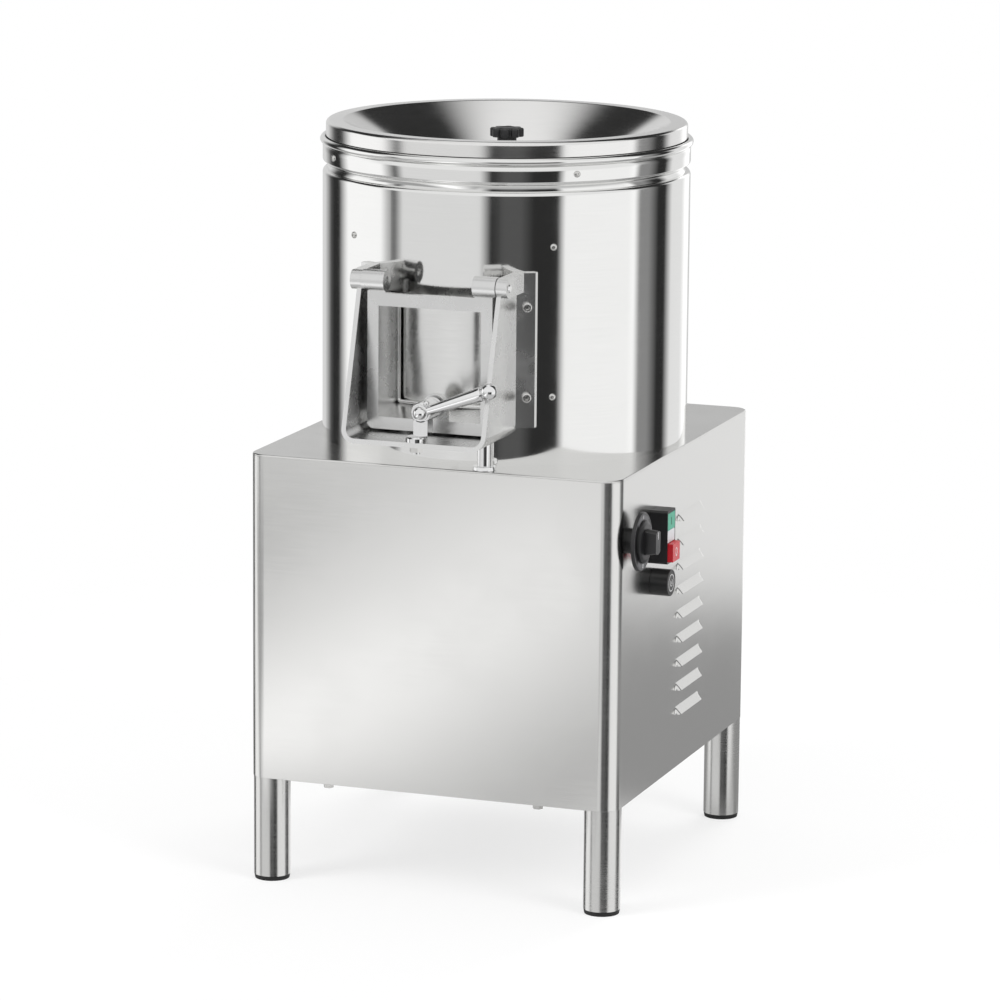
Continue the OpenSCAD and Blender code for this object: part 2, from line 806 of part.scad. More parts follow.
module star_knob() {
    top = lid_top + knob_rise;
    lobe_r = knob_d * 0.135;
    color("black") at_drum() difference() {
        union() {
            translate([0, 0, top - knob_h]) cylinder(r = knob_d / 2 - lobe_r * 0.8, h = knob_h);
            for (i = [0 : knob_n - 1]) rotate([0, 0, i * 360 / knob_n])
                translate([knob_d / 2 - lobe_r, 0, top - knob_h]) {
                    cylinder(r = lobe_r, h = knob_h - 1.5);
                    translate([0, 0, knob_h - 1.5 - eps]) cylinder(r1 = lobe_r, r2 = lobe_r - 1.5, h = 1.5);
                }
            translate([0, 0, top - knob_h - knob_hub_h]) cylinder(r = knob_hub_d / 2, h = knob_hub_h + 1);
        }
        translate([0, 0, top - knob_h - knob_hub_h - 1])
            cylinder(r = knob_stud_d / 2 + play, h = knob_h + knob_hub_h - 3 + play);
        translate([0, 0, top - 1]) ring(knob_d / 2 - lobe_r * 1.9, 7, 2);
    }
}

// ---------- services ----------
module drain_pipe() {
    r = drain_d / 2;
    run = half_d - (drum_y + drain_y) + drain_out;
    color("gray") at_drum() translate([drain_x, drain_y, 0]) difference() {
        union() {
            translate([0, 0, drain_z]) cylinder(r = r, h = floor_top - drain_z - 0.5);
            translate([0, 0, drain_z]) sphere(r = r);
            translate([0, 0, drain_z]) rotate([-90, 0, 0]) cylinder(r = r, h = run);
            translate([0, run - drain_out + 1.5, drain_z]) rotate([-90, 0, 0]) cylinder(r = r + 2, h = 3);
        }
        translate([0, 0, drain_z]) cylinder(r = r - drain_wall, h = far);
        translate([0, 0, drain_z]) sphere(r = r - drain_wall);
        translate([0, 0, drain_z]) rotate([-90, 0, 0]) cylinder(r = r - drain_wall, h = far);
    }
}

module water_inlet() {
    bore_r = inlet_d / 2 - 4;
    color("gold") at_drum() on_drum(180, inlet_level, drum_r) difference() {
        union() {
            translate([0, 0, -drum_wall_t - 10]) cylinder(r = inlet_d / 2, h = 10 + drum_wall_t + 12);
            translate([0, 0, 1]) cylinder(r = inlet_d * 0.68, h = 8, $fn = 6);
            translate([0, 0, 9 - eps]) cylinder(r = inlet_d / 2, h = inlet_len + eps);
        }
        translate([0, 0, -3 - drum_wall_t]) cylinder(r = bore_r, h = far);
        for (i = [-1, 0, 1]) translate([0, 0, -drum_wall_t - 6]) rotate([90, 0, i * 50 + 90])
            cylinder(r = 1.6, h = far);
    }
}

module cable_gland() {
    r = gland_d / 2;
    color("black") translate([gland_x, half_d - sheet_t, gland_z]) rotate([-90, 0, 0]) difference() {
        union() {
            translate([0, 0, -12 - sheet_t]) cylinder(r = r + 3, h = 14 + sheet_t);
            cylinder(r = r + 7, h = 6, $fn = 6);
            translate([0, 0, 6 - eps]) cylinder(r = r + 5.5, h = 10);
            translate([0, 0, 16 - 2 * eps]) cylinder(r1 = r + 5.5, r2 = r + 2, h = 4);
            translate([0, 0, -6 - sheet_t]) cylinder(r = r + 6.5, h = 5.5, $fn = 6);
        }
        translate([0, 0, -20]) cylinder(r = r, h = 60);
    }
}

// ---------- chute ----------
module chute_side_outline() {
    polygon([[-chute_far, chute_z], [-chute_top_far - 4, axis_z - ear_r + 1], [-hinge_out, axis_z],
        [-hinge_out, axis_z + ear_r], [-150, axis_z + ear_r], [-150, chute_z]]);
    translate([-hinge_out, axis_z]) circle(ear_r);
}

// Extrudes an outline drawn as (out from the drum, up) across X from x0 to x1
module across(x0, x1) {
    translate([x0, 0, 0]) rotate([90, 0, 90]) linear_extrude(x1 - x0) children();
}

module chute_u() {
    rotate([90, 0, 0]) translate([0, 0, 120]) linear_extrude(chute_far) difference() {
        u_outline(chute_w / 2, chute_z, chute_r);
        u_outline(chute_in, chute_floor, chute_r - chute_t);
    }
}

// A tall U with round lower corners
module u_outline(half, z0, r) {
    translate([-half, z0 + r]) square([2 * half, axis_z + 40 - z0]);
    translate([-half + r, z0]) square([2 * (half - r), 2 * r]);
    for (i = [-1, 1]) translate([i * (half - r), z0 + r]) circle(r);
}

module pad_screw_places(r) {
    a = asin((chute_w / 2 + pad_w * 0.55) / (drum_r + pad_t));
    for (i = [-a, a], z = [43, 139.5]) on_drum(i, chute_z + z, r) children();
}

module pad_sector() {
    x0 = chute_in;
    x1 = chute_w / 2 + pad_w;
    translate([0, 0, chute_z + 10]) linear_extrude(hinge_z) intersection() {
        difference() {
            circle(drum_r + pad_t + seat);
            circle(drum_r + seat);
        }
        for (i = [-1, 1]) translate([i > 0 ? x0 : -x1, -drum_r - 20]) square([x1 - x0, drum_r]);
    }
}

module chute_frame() {
    color("lightgray") at_drum() difference() {
        union() {
            intersection() {
                chute_u();
                across(-chute_w, chute_w) chute_side_outline();
            }
            for (i = [-1, 1]) across(i > 0 ? chute_in : -ear_x, i > 0 ? ear_x : -chute_in) {
                translate([-hinge_out, axis_z]) circle(ear_r);
                translate([-hinge_out, axis_z - ear_r]) square([hinge_out - drum_r + 30, 2 * ear_r]);
            }
            pad_sector();
        }
        cylinder(r = drum_r + seat, h = far);
        across(-ear_x - 1, ear_x + 1) translate([-hinge_out, axis_z]) circle(pin_d / 2 + play);
        pad_screw_places(drum_r - 5) cylinder(r = pad_screw_d / 2 + seat, h = 30);
        translate([latch_x - 5.5, -lever_out, chute_z - 5]) cylinder(r = 4.2, h = 20);
    }
}

module chute_screws() {
    color("gray") at_drum() pad_screw_places(drum_r + pad_t + seat) socket_screw(pad_screw_d, pad_t - 0.5);
}

module hinge_pins() {
    color("gray") at_drum() for (i = [-1, 1]) mirror([i > 0 ? 0 : 1, 0, 0])
        translate([0, -hinge_out, axis_z]) to_right() {
            translate([0, 0, knuckle_x - knuckle_len + 4])
                cylinder(r = pin_d / 2, h = ear_x - knuckle_x + knuckle_len - 4);
            translate([0, 0, ear_x - eps]) cylinder(r1 = pin_d / 2, r2 = pin_d / 2 - 1.2, h = 1.2);
        }
}

// Tapering box behind the door's rim; grow widens it, z_low and z_high shift its ends
module door_box(side, z_low, z_high, y_front, y_back, draft, rise, fall) {
    hull() {
        translate([-side, -y_front, z_low]) cube([2 * side, eps, z_high - z_low]);
        translate([-side + draft, -y_back, z_low + rise])
            cube([2 * (side - draft), eps, z_high - z_low - rise - fall]);
    }
}

module door() {
    lug_z = pivot_z;
    color("lightgray") at_drum() difference() {
        union() {
            // Rim with rounded corners
            translate([0, -door_back, (door_z0 + door_z1) / 2]) to_front()
                linear_extrude(door_t) rrect(door_w, door_z1 - door_z0, 7);
            door_box(box_side, box_z0, box_z1, door_back + 2, box_back, door_draft, door_rise, 2);
            // Lug that carries the latch bolt
            translate([latch_x - boss_d / 2, -door_front, door_z0 + 1])
                cube([boss_d, door_t, lug_z - door_z0 - 1]);
            translate([latch_x, -door_back, lug_z]) to_front() cylinder(r = boss_d / 2, h = door_t + 2);
            // Hinge knuckles
            for (i = [-1, 1]) {
                mirror([i > 0 ? 0 : 1, 0, 0]) across(knuckle_x - knuckle_len, knuckle_x)
                    translate([-hinge_out, axis_z]) circle(knuckle_r);
                translate([i > 0 ? door_w / 2 - 20 : -door_w / 2, -door_front, door_z1 - 6])
                    cube([20, door_t, 12]);
            }
        }
        // Recess in front, inside the rim and the box, clear of the lug
        difference() {
            door_box(door_w / 2 - door_rim, door_z0 + door_rim, door_z1 - door_rim - 1.5, door_front + 6,
                box_back - 1, door_draft + 0.5, door_rise + 1.5, 3);
            translate([latch_x, -door_back, lug_z]) to_front() cylinder(r = boss_d / 2, h = door_t + 10);
            translate([latch_x - boss_d / 2, -door_front, door_z0]) cube([boss_d, door_t, lug_z - door_z0]);
        }
        cylinder(r = panel_r + eps, h = far);
        across(-ear_x, ear_x) translate([-hinge_out, axis_z]) circle(pin_d / 2 + play);
        translate([latch_x, -door_back + 5, lug_z]) to_front()
            cylinder(r = latch_bolt_d / 2 + play, h = door_t + 20);
    }
}

module door_plate() {
    side = box_side - door_draft - 1;
    color("silver") at_drum() intersection() {
        difference() {
            cylinder(r = panel_r, h = far);
            translate([0, 0, -1]) cylinder(r = panel_r - panel_t, h = far + 2);
        }
        translate([-side, -far, box_z0 + door_rise + 1])
            cube([2 * side, far, box_z1 - box_z0 - door_rise - 3]);
    }
}

// Rubber band around the door's box where it enters the drum
module door_seal() {
    color("black") at_drum() difference() {
        intersection() {
            difference() {
                cylinder(r = drum_r + 4, h = far);
                translate([0, 0, -1]) cylinder(r = drum_r + 0.5, h = far + 2);
            }
            translate([0, -far / 2, 0]) cube([far, far, 2 * far], center = true);
            door_box(box_side + 1.6, box_z0 - 2, box_z1 + 2, door_back, box_back, door_draft, door_rise, 2);
        }
        door_box(box_side, box_z0, box_z1, door_back + 2, box_back, door_draft, door_rise, 2);
    }
}

// ---------- latch ----------
module at_latch() {
    at_drum() translate([latch_x, 0, pivot_z]) children();
}

module latch_bolt() {
    color("gray") at_latch() {
        translate([0, -door_back, 0]) to_front()
            cylinder(r = latch_bolt_d / 2, h = hub_front - door_back + 5);
        translate([0, -door_back + 5, 0]) to_front() cylinder(r = 8, h = 5 + eps, $fn = 6);
    }
}

module latch_cap_nut() {
    r = 7.2;
    color("silver") at_latch() translate([0, -hub_front - 0.3, 0]) to_front() difference() {
        union() {
            cylinder(r = r + 1.5, h = latch_washer);
            translate([0, 0, latch_washer - eps]) cylinder(r = r, h = 0.5 + 2 * eps);
            translate([0, 0, latch_washer + 0.5]) intersection() {
                sphere(r = r);
                translate([-r, -r, 0]) cube(2 * r);
            }
        }
        translate([0, 0, -1]) cylinder(r = latch_bolt_d / 2 + play, h = 6);
    }
}

module clamp_lever() {
    ball_r = ball_d / 2;
    color("silver") at_latch() difference() {
        union() {
            translate([0, -hub_front, 0]) rotate([-90, 0, 0]) cylinder(r = hub_d / 2, h = hub_len);
            // Cam that bears on the striker
            intersection() {
                translate([0, -hub_front, 0]) rotate([-90, 0, 0]) cylinder(r = cam_r, h = 16);
                translate([-cam_w / 2, -hub_front, -cam_r - 1]) cube([cam_w, 16, cam_r]);
            }
            // Small stop pin beside the hub
            rotate([0, -lever_angle - 40, 0]) translate([hub_d / 2 + 1, -lever_out - 2, 0]) sphere(r = 3.2);
            // Tapered handle and ball
            translate([0, -handle_out, 0]) rotate([0, 90 - lever_angle, 0]) {
                translate([0, 0, hub_d / 2 - 1.8]) cylinder(r1 = lever_d_in / 2, r2 = lever_d_out / 2,
                    h = lever_len - hub_d / 2 - ball_r);
                translate([0, 0, lever_len - ball_r - 3]) cylinder(r = lever_d_out / 2 - 2, h = 6);
                translate([0, 0, lever_len]) sphere(r = ball_r);
            }
        }
        translate([0, -far / 2, 0]) rotate([-90, 0, 0]) cylinder(r = latch_bolt_d / 2 + play, h = far);
    }
}

module striker() {
    color("silver") at_drum() translate([latch_x - 5.5, -lever_out, 0]) {
        translate([0, 0, chute_floor]) cylinder(r = striker_d / 2, h = striker_h - 1.5);
        translate([0, 0, striker_z - 1.5 - eps])
            cylinder(r1 = striker_d / 2, r2 = striker_d / 2 - 1.5, h = 1.5);
        translate([0, 0, chute_z - 8]) cylinder(r = 4, h = chute_t + 8 + 1);
    }
}

module striker_nut() {
    color("gray") at_drum() translate([latch_x - 5.5, -lever_out, chute_z - 6]) difference() {
        cylinder(r = 7.4, h = 6, $fn = 6);
        translate([0, 0, -1]) cylinder(r = 4 + play, h = 9);
    }
}

module chute_post() {
    color("silver") at_drum() translate([post_x, -post_out, cab_top]) {
        cylinder(r1 = post_d * 0.8, r2 = post_d * 0.75, h = 4);
        cylinder(r = post_d / 2, h = chute_lift);
    }
}

// ---------- controls ----------
// Origin on the cabinet's right wall, +Z pointing outwards
module on_wall(ahead, level) {
    translate([half_w, -ahead, level]) to_right() children();
}

module control_box() {
    front = half_d - cab_r - 1;
    box_l = front - round_ahead + 30;
    box_h = dial_level - round_level + 66;
    mid_y = box_l / 2 - front;
    mid_z = (dial_level + round_level) / 2;
    color("dimgray") difference() {
        translate([wall_in - box_d, mid_y - box_l / 2, mid_z - box_h / 2]) cube([box_d, box_l, box_h]);
        translate([wall_in - box_d + 3, mid_y - box_l / 2 + 2, mid_z - box_h / 2 + 2])
            cube([box_d, box_l - 4, box_h - 4]);
    }
}

module switch_plate() {
    color("dimgray") on_wall(dial_ahead, dial_level) difference() {
        union() {
            cylinder(r = dial_neck_d / 2, h = dial_neck + 1);
            translate([0, 0, dial_neck]) cylinder(r = dial_d / 2, h = dial_t - 1);
            translate([0, 0, dial_neck + dial_t - 1 - eps])
                cylinder(r1 = dial_d / 2, r2 = dial_d / 2 - 1, h = 1 + eps);
            translate([0, 0, -sheet_t - 20]) cylinder(r = 10.5, h = 21 + sheet_t);
            translate([0, 0, -sheet_t - 42]) rotate([0, 0, 45]) cylinder(r = 22, h = 38, $fn = 4);
        }
        translate([0, 0, -sheet_t - 30]) cylinder(r = 4 + play, h = 60);
    }
}

module rotary_knob() {
    base = dial_neck + dial_t + 0.3;
    color("black") on_wall(dial_ahead, dial_level) {
        translate([0, 0, base]) cylinder(r = turn_d / 2, h = 2.5);
        translate([0, 0, base + 2.5 - eps]) cylinder(r1 = turn_d / 2, r2 = turn_d / 2 - 4, h = 1.5);
        intersection() {
            translate([-grip_len / 2, -grip_w / 2, base]) cube([grip_len, grip_w, grip_out]);
            translate([0, 0, base]) cylinder(r1 = grip_len / 2 + 1, r2 = grip_len / 2 - 1, h = grip_out + 1);
        }
        translate([0, 0, -sheet_t - 25]) cylinder(r = 4, h = 26 + sheet_t + base);
    }
}

module button_block() {
    slot_h = green_h + lens_h + red_h;
    color("black") on_wall(block_ahead, block_level) difference() {
        union() {
            difference() {
                linear_extrude(block_out) rrect(block_h, block_w, 2.5);
                translate([-face_mid - slot_h / 2, -block_w / 2 + block_rim, 5])
                    cube([slot_h, block_w - 2 * block_rim, block_out]);
            }
            translate([0, 0, -sheet_t - 34]) cylinder(r = 10.5, h = 35 + sheet_t);
        }
        for (i = [-1, 1]) translate([i * plunger_x, 0, -sheet_t - 40]) cylinder(r = 1.6 + play, h = 60);
    }
}

// Stack of the block's face from its top: start, lens, stop
start_mid = block_h / 2 - block_top - green_h / 2;
lens_mid = start_mid - green_h / 2 - lens_h / 2;
stop_mid = lens_mid - lens_h / 2 - red_h / 2;
face_mid = start_mid + green_h / 2 - (green_h + lens_h + red_h) / 2;

// A push button's cap with its plunger through the wall
module push_cap(mid, h, top, plunger) {
    gap = 0.2;
    translate([-mid - h / 2 + gap, -block_w / 2 + block_rim + gap, 10])
        cube([h - 2 * gap, block_w - 2 * block_rim - 2 * gap, top - 10]);
    translate([plunger, 0, -sheet_t - 30]) cylinder(r = 1.6, h = 40 + sheet_t + 1);
}

module start_button() {
    color("seagreen") on_wall(block_ahead, block_level) push_cap(start_mid, green_h, block_out, -plunger_x);
}

module stop_button() {
    color("red") on_wall(block_ahead, block_level) push_cap(stop_mid, red_h, block_out + stop_out, plunger_x);
}

module signal_lens() {
    color("white") on_wall(block_ahead, block_level)
        translate([-lens_mid - lens_h / 2 + 0.2, -block_w / 2 + block_rim, 12])
            cube([lens_h - 0.4, block_w - 2 * block_rim, block_out - 12]);
}

module round_bezel() {
    color("black") on_wall(round_ahead, round_level) difference() {
        union() {
            cylinder(r = round_d / 2, h = round_out);
            translate([0, 0, -sheet_t - 30]) cylinder(r = 10.5, h = 31 + sheet_t);
        }
        translate([0, 0, 10]) cylinder(r = round_d / 2 - round_rim, h = far);
        translate([0, 0, -far / 2]) cylinder(r = 3 + play, h = far);
    }
}

module round_button() {
    color("black") on_wall(round_ahead, round_level) {
        translate([0, 0, 14]) cylinder(r = round_d / 2 - round_rim - play, h = round_out - 14);
        translate([0, 0, -sheet_t - 26]) cylinder(r = 3, h = 41 + sheet_t);
    }
}

// ---------- drive ----------
module bearing_seat(z) {
    translate([0, 0, z]) cylinder(r = bearing_d / 2 + play, h = bearing_w);
}

upper_bearing_z = deck_low - 24;
lower_bearing_z = housing_low + 6;

module housing_screw_places() {
    for (i = [0 : 3]) rotate([0, 0, 45 + i * 90])
        translate([bearing_d / 2 + housing_wall + 14, 0, deck_low]) children();
}

module bearing_housing() {
    body_r = bearing_d / 2 + housing_wall;
    color("gray") at_drum() difference() {
        union() {
            translate([0, 0, deck_low - 10]) cylinder(r = body_r + 24, h = 10);
            translate([0, 0, housing_low]) cylinder(r = body_r, h = housing_len);
            translate([0, 0, deck_low - eps]) cylinder(r = nose_r, h = nose_top - deck_low);
        }
        cylinder(r = shaft_r + 4, h = far);
        translate([0, 0, housing_low - 1]) cylinder(r = bearing_d / 2 + play, h = 7 + eps);
        bearing_seat(lower_bearing_z);
        bearing_seat(upper_bearing_z);
        translate([0, 0, upper_bearing_z + bearing_w - eps]) cylinder(r = bearing_d / 2 + play, h = far);
        housing_screw_places() translate([0, 0, -15]) cylinder(r = 3.2, h = 30);
    }
}

module bearings() {
    color("silver") at_drum() for (z = [lower_bearing_z, upper_bearing_z]) translate([0, 0, z]) difference() {
        ring(bearing_d / 2, shaft_r + play, bearing_w);
        for (s = [-1, bearing_w - 1.5]) translate([0, 0, s])
            ring(bearing_d / 2 - 4, shaft_r + 4, 2.5);
    }
}

module shaft_seal() {
    color("black") at_drum() translate([0, 0, nose_top - 9]) ring(bearing_d / 2, shaft_r + play, 8);
}

module housing_screws() {
    color("gray") at_drum() housing_screw_places() translate([0, 0, -10]) hex_screw(6, 9.5 + deck_t, 11.5, 4);
}

module main_shaft() {
    color("gray") at_drum() {
        translate([0, 0, shaft_low]) cylinder(r = shaft_r, h = disc_low - shaft_low);
        translate([0, 0, disc_low - eps]) cylinder(r = shaft_end_r, h = disc_t + 15);
    }
}

module belt_groove(rim_r) {
    for (i = [-2 : 2]) translate([0, 0, i * 2.6]) rotate_extrude()
        translate([rim_r, 0]) polygon([[0.1, -0.9], [0.1, 0.9], [-1.6, 0]]);
}

module pulley(r, rim_r, bore_r) {
    difference() {
        union() {
            cylinder(r = rim_r, h = pulley_h);
            for (z = [0, pulley_h - 2]) translate([0, 0, z]) cylinder(r = r, h = 2);
        }
        translate([0, 0, pulley_h / 2]) belt_groove(rim_r);
        translate([0, 0, -1]) cylinder(r = bore_r, h = pulley_h + 2);
    }
}

module drum_pulley() {
    color("gray") at_drum() translate([0, 0, pulley_low]) difference() {
        union() {
            difference() {
                pulley(big_pulley_d / 2, big_rim, shaft_r);
                translate([0, 0, 8]) ring(big_rim - 10, 34, far);
                translate([0, 0, -1]) ring(big_rim - 10, 34, 4);
                for (i = [0 : 5]) rotate([0, 0, i * 60]) translate([(big_rim + 24) / 2, 0, -1])
                    cylinder(r = 18, h = far);
            }
            translate([0, 0, -8]) ring(30, shaft_r, 9);
        }
    }
}

module motor_pulley() {
    color("gray") at_motor() translate([0, 0, pulley_low])
        pulley(small_pulley_d / 2, small_rim, motor_shaft_d / 2);
}

// Belt outline: two arcs joined by the outer tangents, a gap g off the pulley rims
function belt_points(g, span, a) = concat(
    [for (i = [0 : 72]) let (t = a + (360 - 2 * a) * i / 72)
        [(big_rim + g) * cos(t), (big_rim + g) * sin(t)]],
    [for (i = [0 : 36]) let (t = -a + 2 * a * i / 36)
        [span + (small_rim + g) * cos(t), (small_rim + g) * sin(t)]]);

module drive_belt() {
    span = sqrt(motor_x * motor_x + motor_y * motor_y);
    a = acos((big_rim - small_rim) / span);
    color("black") at_drum() translate([0, 0, pulley_z - belt_w / 2])
        rotate([0, 0, atan2(motor_y, -motor_x)]) linear_extrude(belt_w) difference() {
            polygon(belt_points(belt_gap + belt_t, span, a));
            polygon(belt_points(belt_gap, span, a));
        }
}

module motor() {
    fins = 36;
    r = motor_d / 2;
    color("slategray") at_motor() difference() {
        union() {
            translate([0, 0, motor_low + 30]) cylinder(r = r - 7, h = motor_len - 36);
            translate([0, 0, motor_low + 34]) linear_extrude(motor_len - 54) for (i = [0 : fins - 1])
                rotate([0, 0, i * 360 / fins]) translate([r - 9, -1]) square([9, 2]);
            translate([0, 0, motor_top - 18]) cylinder(r = r, h = 18);
            translate([0, 0, motor_low]) cylinder(r = r + 1, h = 32);
            translate([-35, r - 14, motor_low + 70]) cube([70, 34, 70]);
        }
        translate([0, 0, motor_top - 60]) cylinder(r = motor_shaft_d / 2 + play, h = far);
        for (i = [0 : 11]) rotate([0, 0, i * 30])
            translate([r - 26, 0, motor_low - 1]) cylinder(r = 7, h = 8);
    }
}

module motor_shaft() {
    inside = 58;
    color("gray") at_motor() translate([0, 0, motor_top - inside])
        cylinder(r = motor_shaft_d / 2, h = inside + bracket_t + 12 + pulley_h + 4);
}

module motor_bracket() {
    side = motor_d / 2 + 14;
    color("silver") at_motor() difference() {
        union() {
            translate([-side, -side, motor_top]) cube([2 * side, 2 * side, bracket_t]);
            for (i = [-1, 1]) {
                translate([i > 0 ? side - bracket_t : -side, -side + 20, base_top])
                    cube([bracket_t, 2 * side - 40, motor_top - base_top + eps]);
                translate([i > 0 ? side - 24 : -side, -side + 20, base_top])
                    cube([24, 2 * side - 40, 3]);
            }
        }
        cylinder(r = motor_shaft_d / 2 + 8, h = far);
        for (i = [0 : 3]) rotate([0, 0, 45 + i * 90])
            translate([motor_d / 2 - 8, 0, 0]) cylinder(r = 4, h = far);
    }
}

// ---------- peeling disc ----------
module peeling_disc() {
    wave_r = 34;
    color("dimgray") at_drum() difference() {
        union() {
            translate([0, 0, disc_low]) cylinder(r = disc_r, h = disc_t);
            intersection() {
                translate([0, 0, disc_top - 1]) cylinder(r = disc_r, h = wave_h + 2);
                for (i = [0 : wave_n - 1]) rotate([0, 0, i * 360 / wave_n + 30])
                    translate([30, 0, disc_top + wave_h - wave_r]) to_right() cylinder(r = wave_r, h = far);
            }
            // Vanes that sweep the peelings to the drain
            for (i = [0, 1]) rotate([0, 0, i * 180]) translate([45, -4, disc_low - 12])
                cube([disc_r - 60, 8, 13]);
        }
        cylinder(r = shaft_end_r, h = far);
    }
}

module disc_nut() {
    color("silver") at_drum() translate([0, 0, disc_top + 0.3]) difference() {
        union() {
            ring(24, shaft_end_r, 3);
            translate([0, 0, 3 - eps]) cylinder(r = 16, h = 15, $fn = 6);
            translate([0, 0, 18 - 2 * eps]) cylinder(r1 = 13, r2 = 6, h = 7);
        }
        translate([0, 0, -1]) cylinder(r = shaft_end_r + eps, h = 17);
    }
}

cabinet_shell();
cabinet_deck();
back_panel();
base_plate();
leg(-1, -1);  // leg_front_left
leg(1, -1);  // leg_front_right
leg(-1, 1);  // leg_rear_left
leg(1, 1);  // leg_rear_right
feet();
leg_nuts();
base_screws();
back_panel_screws();
drum_wall();
drum_floor();
grit_liner();
liner_screws();
collar();
collar_screws();
hopper_seal();
hopper();
inner_lid();
lid_stud();
star_knob();
drain_pipe();
water_inlet();
cable_gland();
chute_frame();
chute_screws();
hinge_pins();
door();
door_plate();
door_seal();
latch_bolt();
latch_cap_nut();
clamp_lever();
striker();
striker_nut();
chute_post();
control_box();
switch_plate();
rotary_knob();
button_block();
start_button();
stop_button();
signal_lens();
round_bezel();
round_button();
motor();
motor_shaft();
motor_pulley();
motor_bracket();
drive_belt();
drum_pulley();
main_shaft();
bearing_housing();
bearings();
shaft_seal();
housing_screws();
peeling_disc();
disc_nut();
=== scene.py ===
"""Dressed model of a floor-standing drum potato peeler.

Shapes are written in millimetres and become metres when they are placed. The studio is in metres.
"""
import json
from math import asin, cos, pi, radians, sin, tan

import bmesh
import bpy
from mathutils import Matrix, Vector


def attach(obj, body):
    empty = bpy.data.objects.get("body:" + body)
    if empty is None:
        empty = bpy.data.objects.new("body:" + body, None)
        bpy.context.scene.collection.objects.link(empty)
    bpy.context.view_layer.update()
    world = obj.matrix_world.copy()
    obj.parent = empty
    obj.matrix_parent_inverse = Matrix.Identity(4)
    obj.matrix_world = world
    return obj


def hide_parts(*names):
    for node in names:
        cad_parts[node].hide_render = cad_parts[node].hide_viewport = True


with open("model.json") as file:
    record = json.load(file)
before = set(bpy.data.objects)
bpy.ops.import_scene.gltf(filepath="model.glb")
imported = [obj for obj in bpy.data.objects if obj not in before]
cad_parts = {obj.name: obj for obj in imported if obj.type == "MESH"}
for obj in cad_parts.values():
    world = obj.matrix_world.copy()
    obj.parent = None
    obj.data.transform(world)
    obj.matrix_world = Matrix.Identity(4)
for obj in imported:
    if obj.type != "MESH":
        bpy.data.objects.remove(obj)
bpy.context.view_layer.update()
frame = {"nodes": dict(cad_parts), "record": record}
nodes = frame["nodes"]
body_of_node = {n: b for b, ns in frame["record"]["behaviour"]["bodies"].items() for n in ns}

MM = 0.001


# ---------- sizes from the frame ----------
def cad_corners(node):
    """Low and high corner of a CAD node's box in mm, to the nearest half."""
    points = [v.co / MM for v in nodes[node].data.vertices]
    return [[round(pick(p[axis] for p in points) * 2) / 2 for axis in range(3)] for pick in (min, max)]


def joint_place(name):
    """Where a joint of the frame sits, in mm."""
    joint = next(j for j in frame["record"]["behaviour"]["joints"] if j["name"] == name)
    return [round(v / MM, 2) for v in joint["pos_m"]]


drum_low, drum_high = cad_corners("drum_wall")
DRUM_X = (drum_low[0] + drum_high[0]) / 2
DRUM_Y = (drum_low[1] + drum_high[1]) / 2
DRUM_R = (drum_high[0] - drum_low[0]) / 2
DRUM_AXIS = (DRUM_X * MM, DRUM_Y * MM, 0)
CAB_X, CAB_Y, DECK_Z = cad_corners("cabinet_deck")[1]
UNDER_Z = cad_corners("cabinet_shell")[0][2]
SHELL_TOP = cad_corners("cabinet_shell")[1][2]
RIM_Z = cad_corners("hopper")[1][2]

# The photo's camera as it was fitted: angles in degrees, lengths in mm
CAMERA_TURN, CAMERA_TILT, CAMERA_ROLL = 19.823, 11.467, 0.463
CAMERA_AIM = (-5.5, -0.44, 394.05)
CAMERA_AWAY = 5418.8
FOCAL_PX, PHOTO_PX = 4905.06, 1000
SENSOR = 36


# ---------- camera ----------
def photo_camera():
    """Camera with the photo's angle, distance and lens."""
    turn, tilt, roll = radians(CAMERA_TURN), radians(CAMERA_TILT), radians(CAMERA_ROLL)
    forward = Vector((-sin(turn) * cos(tilt), cos(turn) * cos(tilt), -sin(tilt)))
    level = Vector((cos(turn), sin(turn), 0))
    upright = level.cross(forward)
    right = level * cos(roll) + upright * sin(roll)
    up = upright * cos(roll) - level * sin(roll)
    data = bpy.data.cameras.new("Photo camera")
    data.sensor_width = SENSOR
    data.lens = FOCAL_PX / PHOTO_PX * SENSOR
    data.clip_end = 50
    cam = bpy.data.objects.new("Photo camera", data)
    facing = Matrix((right, up, -forward)).transposed().to_4x4()
    cam.matrix_world = Matrix.Translation(Vector(CAMERA_AIM) * MM - forward * CAMERA_AWAY * MM) @ facing
    bpy.context.scene.collection.objects.link(cam)
    bpy.context.scene.camera = cam


# ---------- node helpers ----------
def link(tree, a, b):
    tree.links.new(a, b)


def calc(tree, op, a, b=None, c=None, clamp=False):
    """One step of arithmetic in a node tree; a, b and c are numbers or sockets."""
    n = tree.nodes.new("ShaderNodeMath")
    n.operation = op
    n.use_clamp = clamp
    for i, v in enumerate((a, b, c)):
        if v is None:
            continue
        if isinstance(v, (int, float)):
            n.inputs[i].default_value = v
        else:
            link(tree, v, n.inputs[i])
    return n.outputs[0]


def spread(tree, value, low, high, smooth=False):
    """Stretches a band of values to 0 to 1."""
    n = tree.nodes.new("ShaderNodeMapRange")
    if smooth:
        n.interpolation_type = "SMOOTHSTEP"
    n.inputs["From Min"].default_value = low
    n.inputs["From Max"].default_value = high
    link(tree, value, n.inputs["Value"])
    return n.outputs[0]


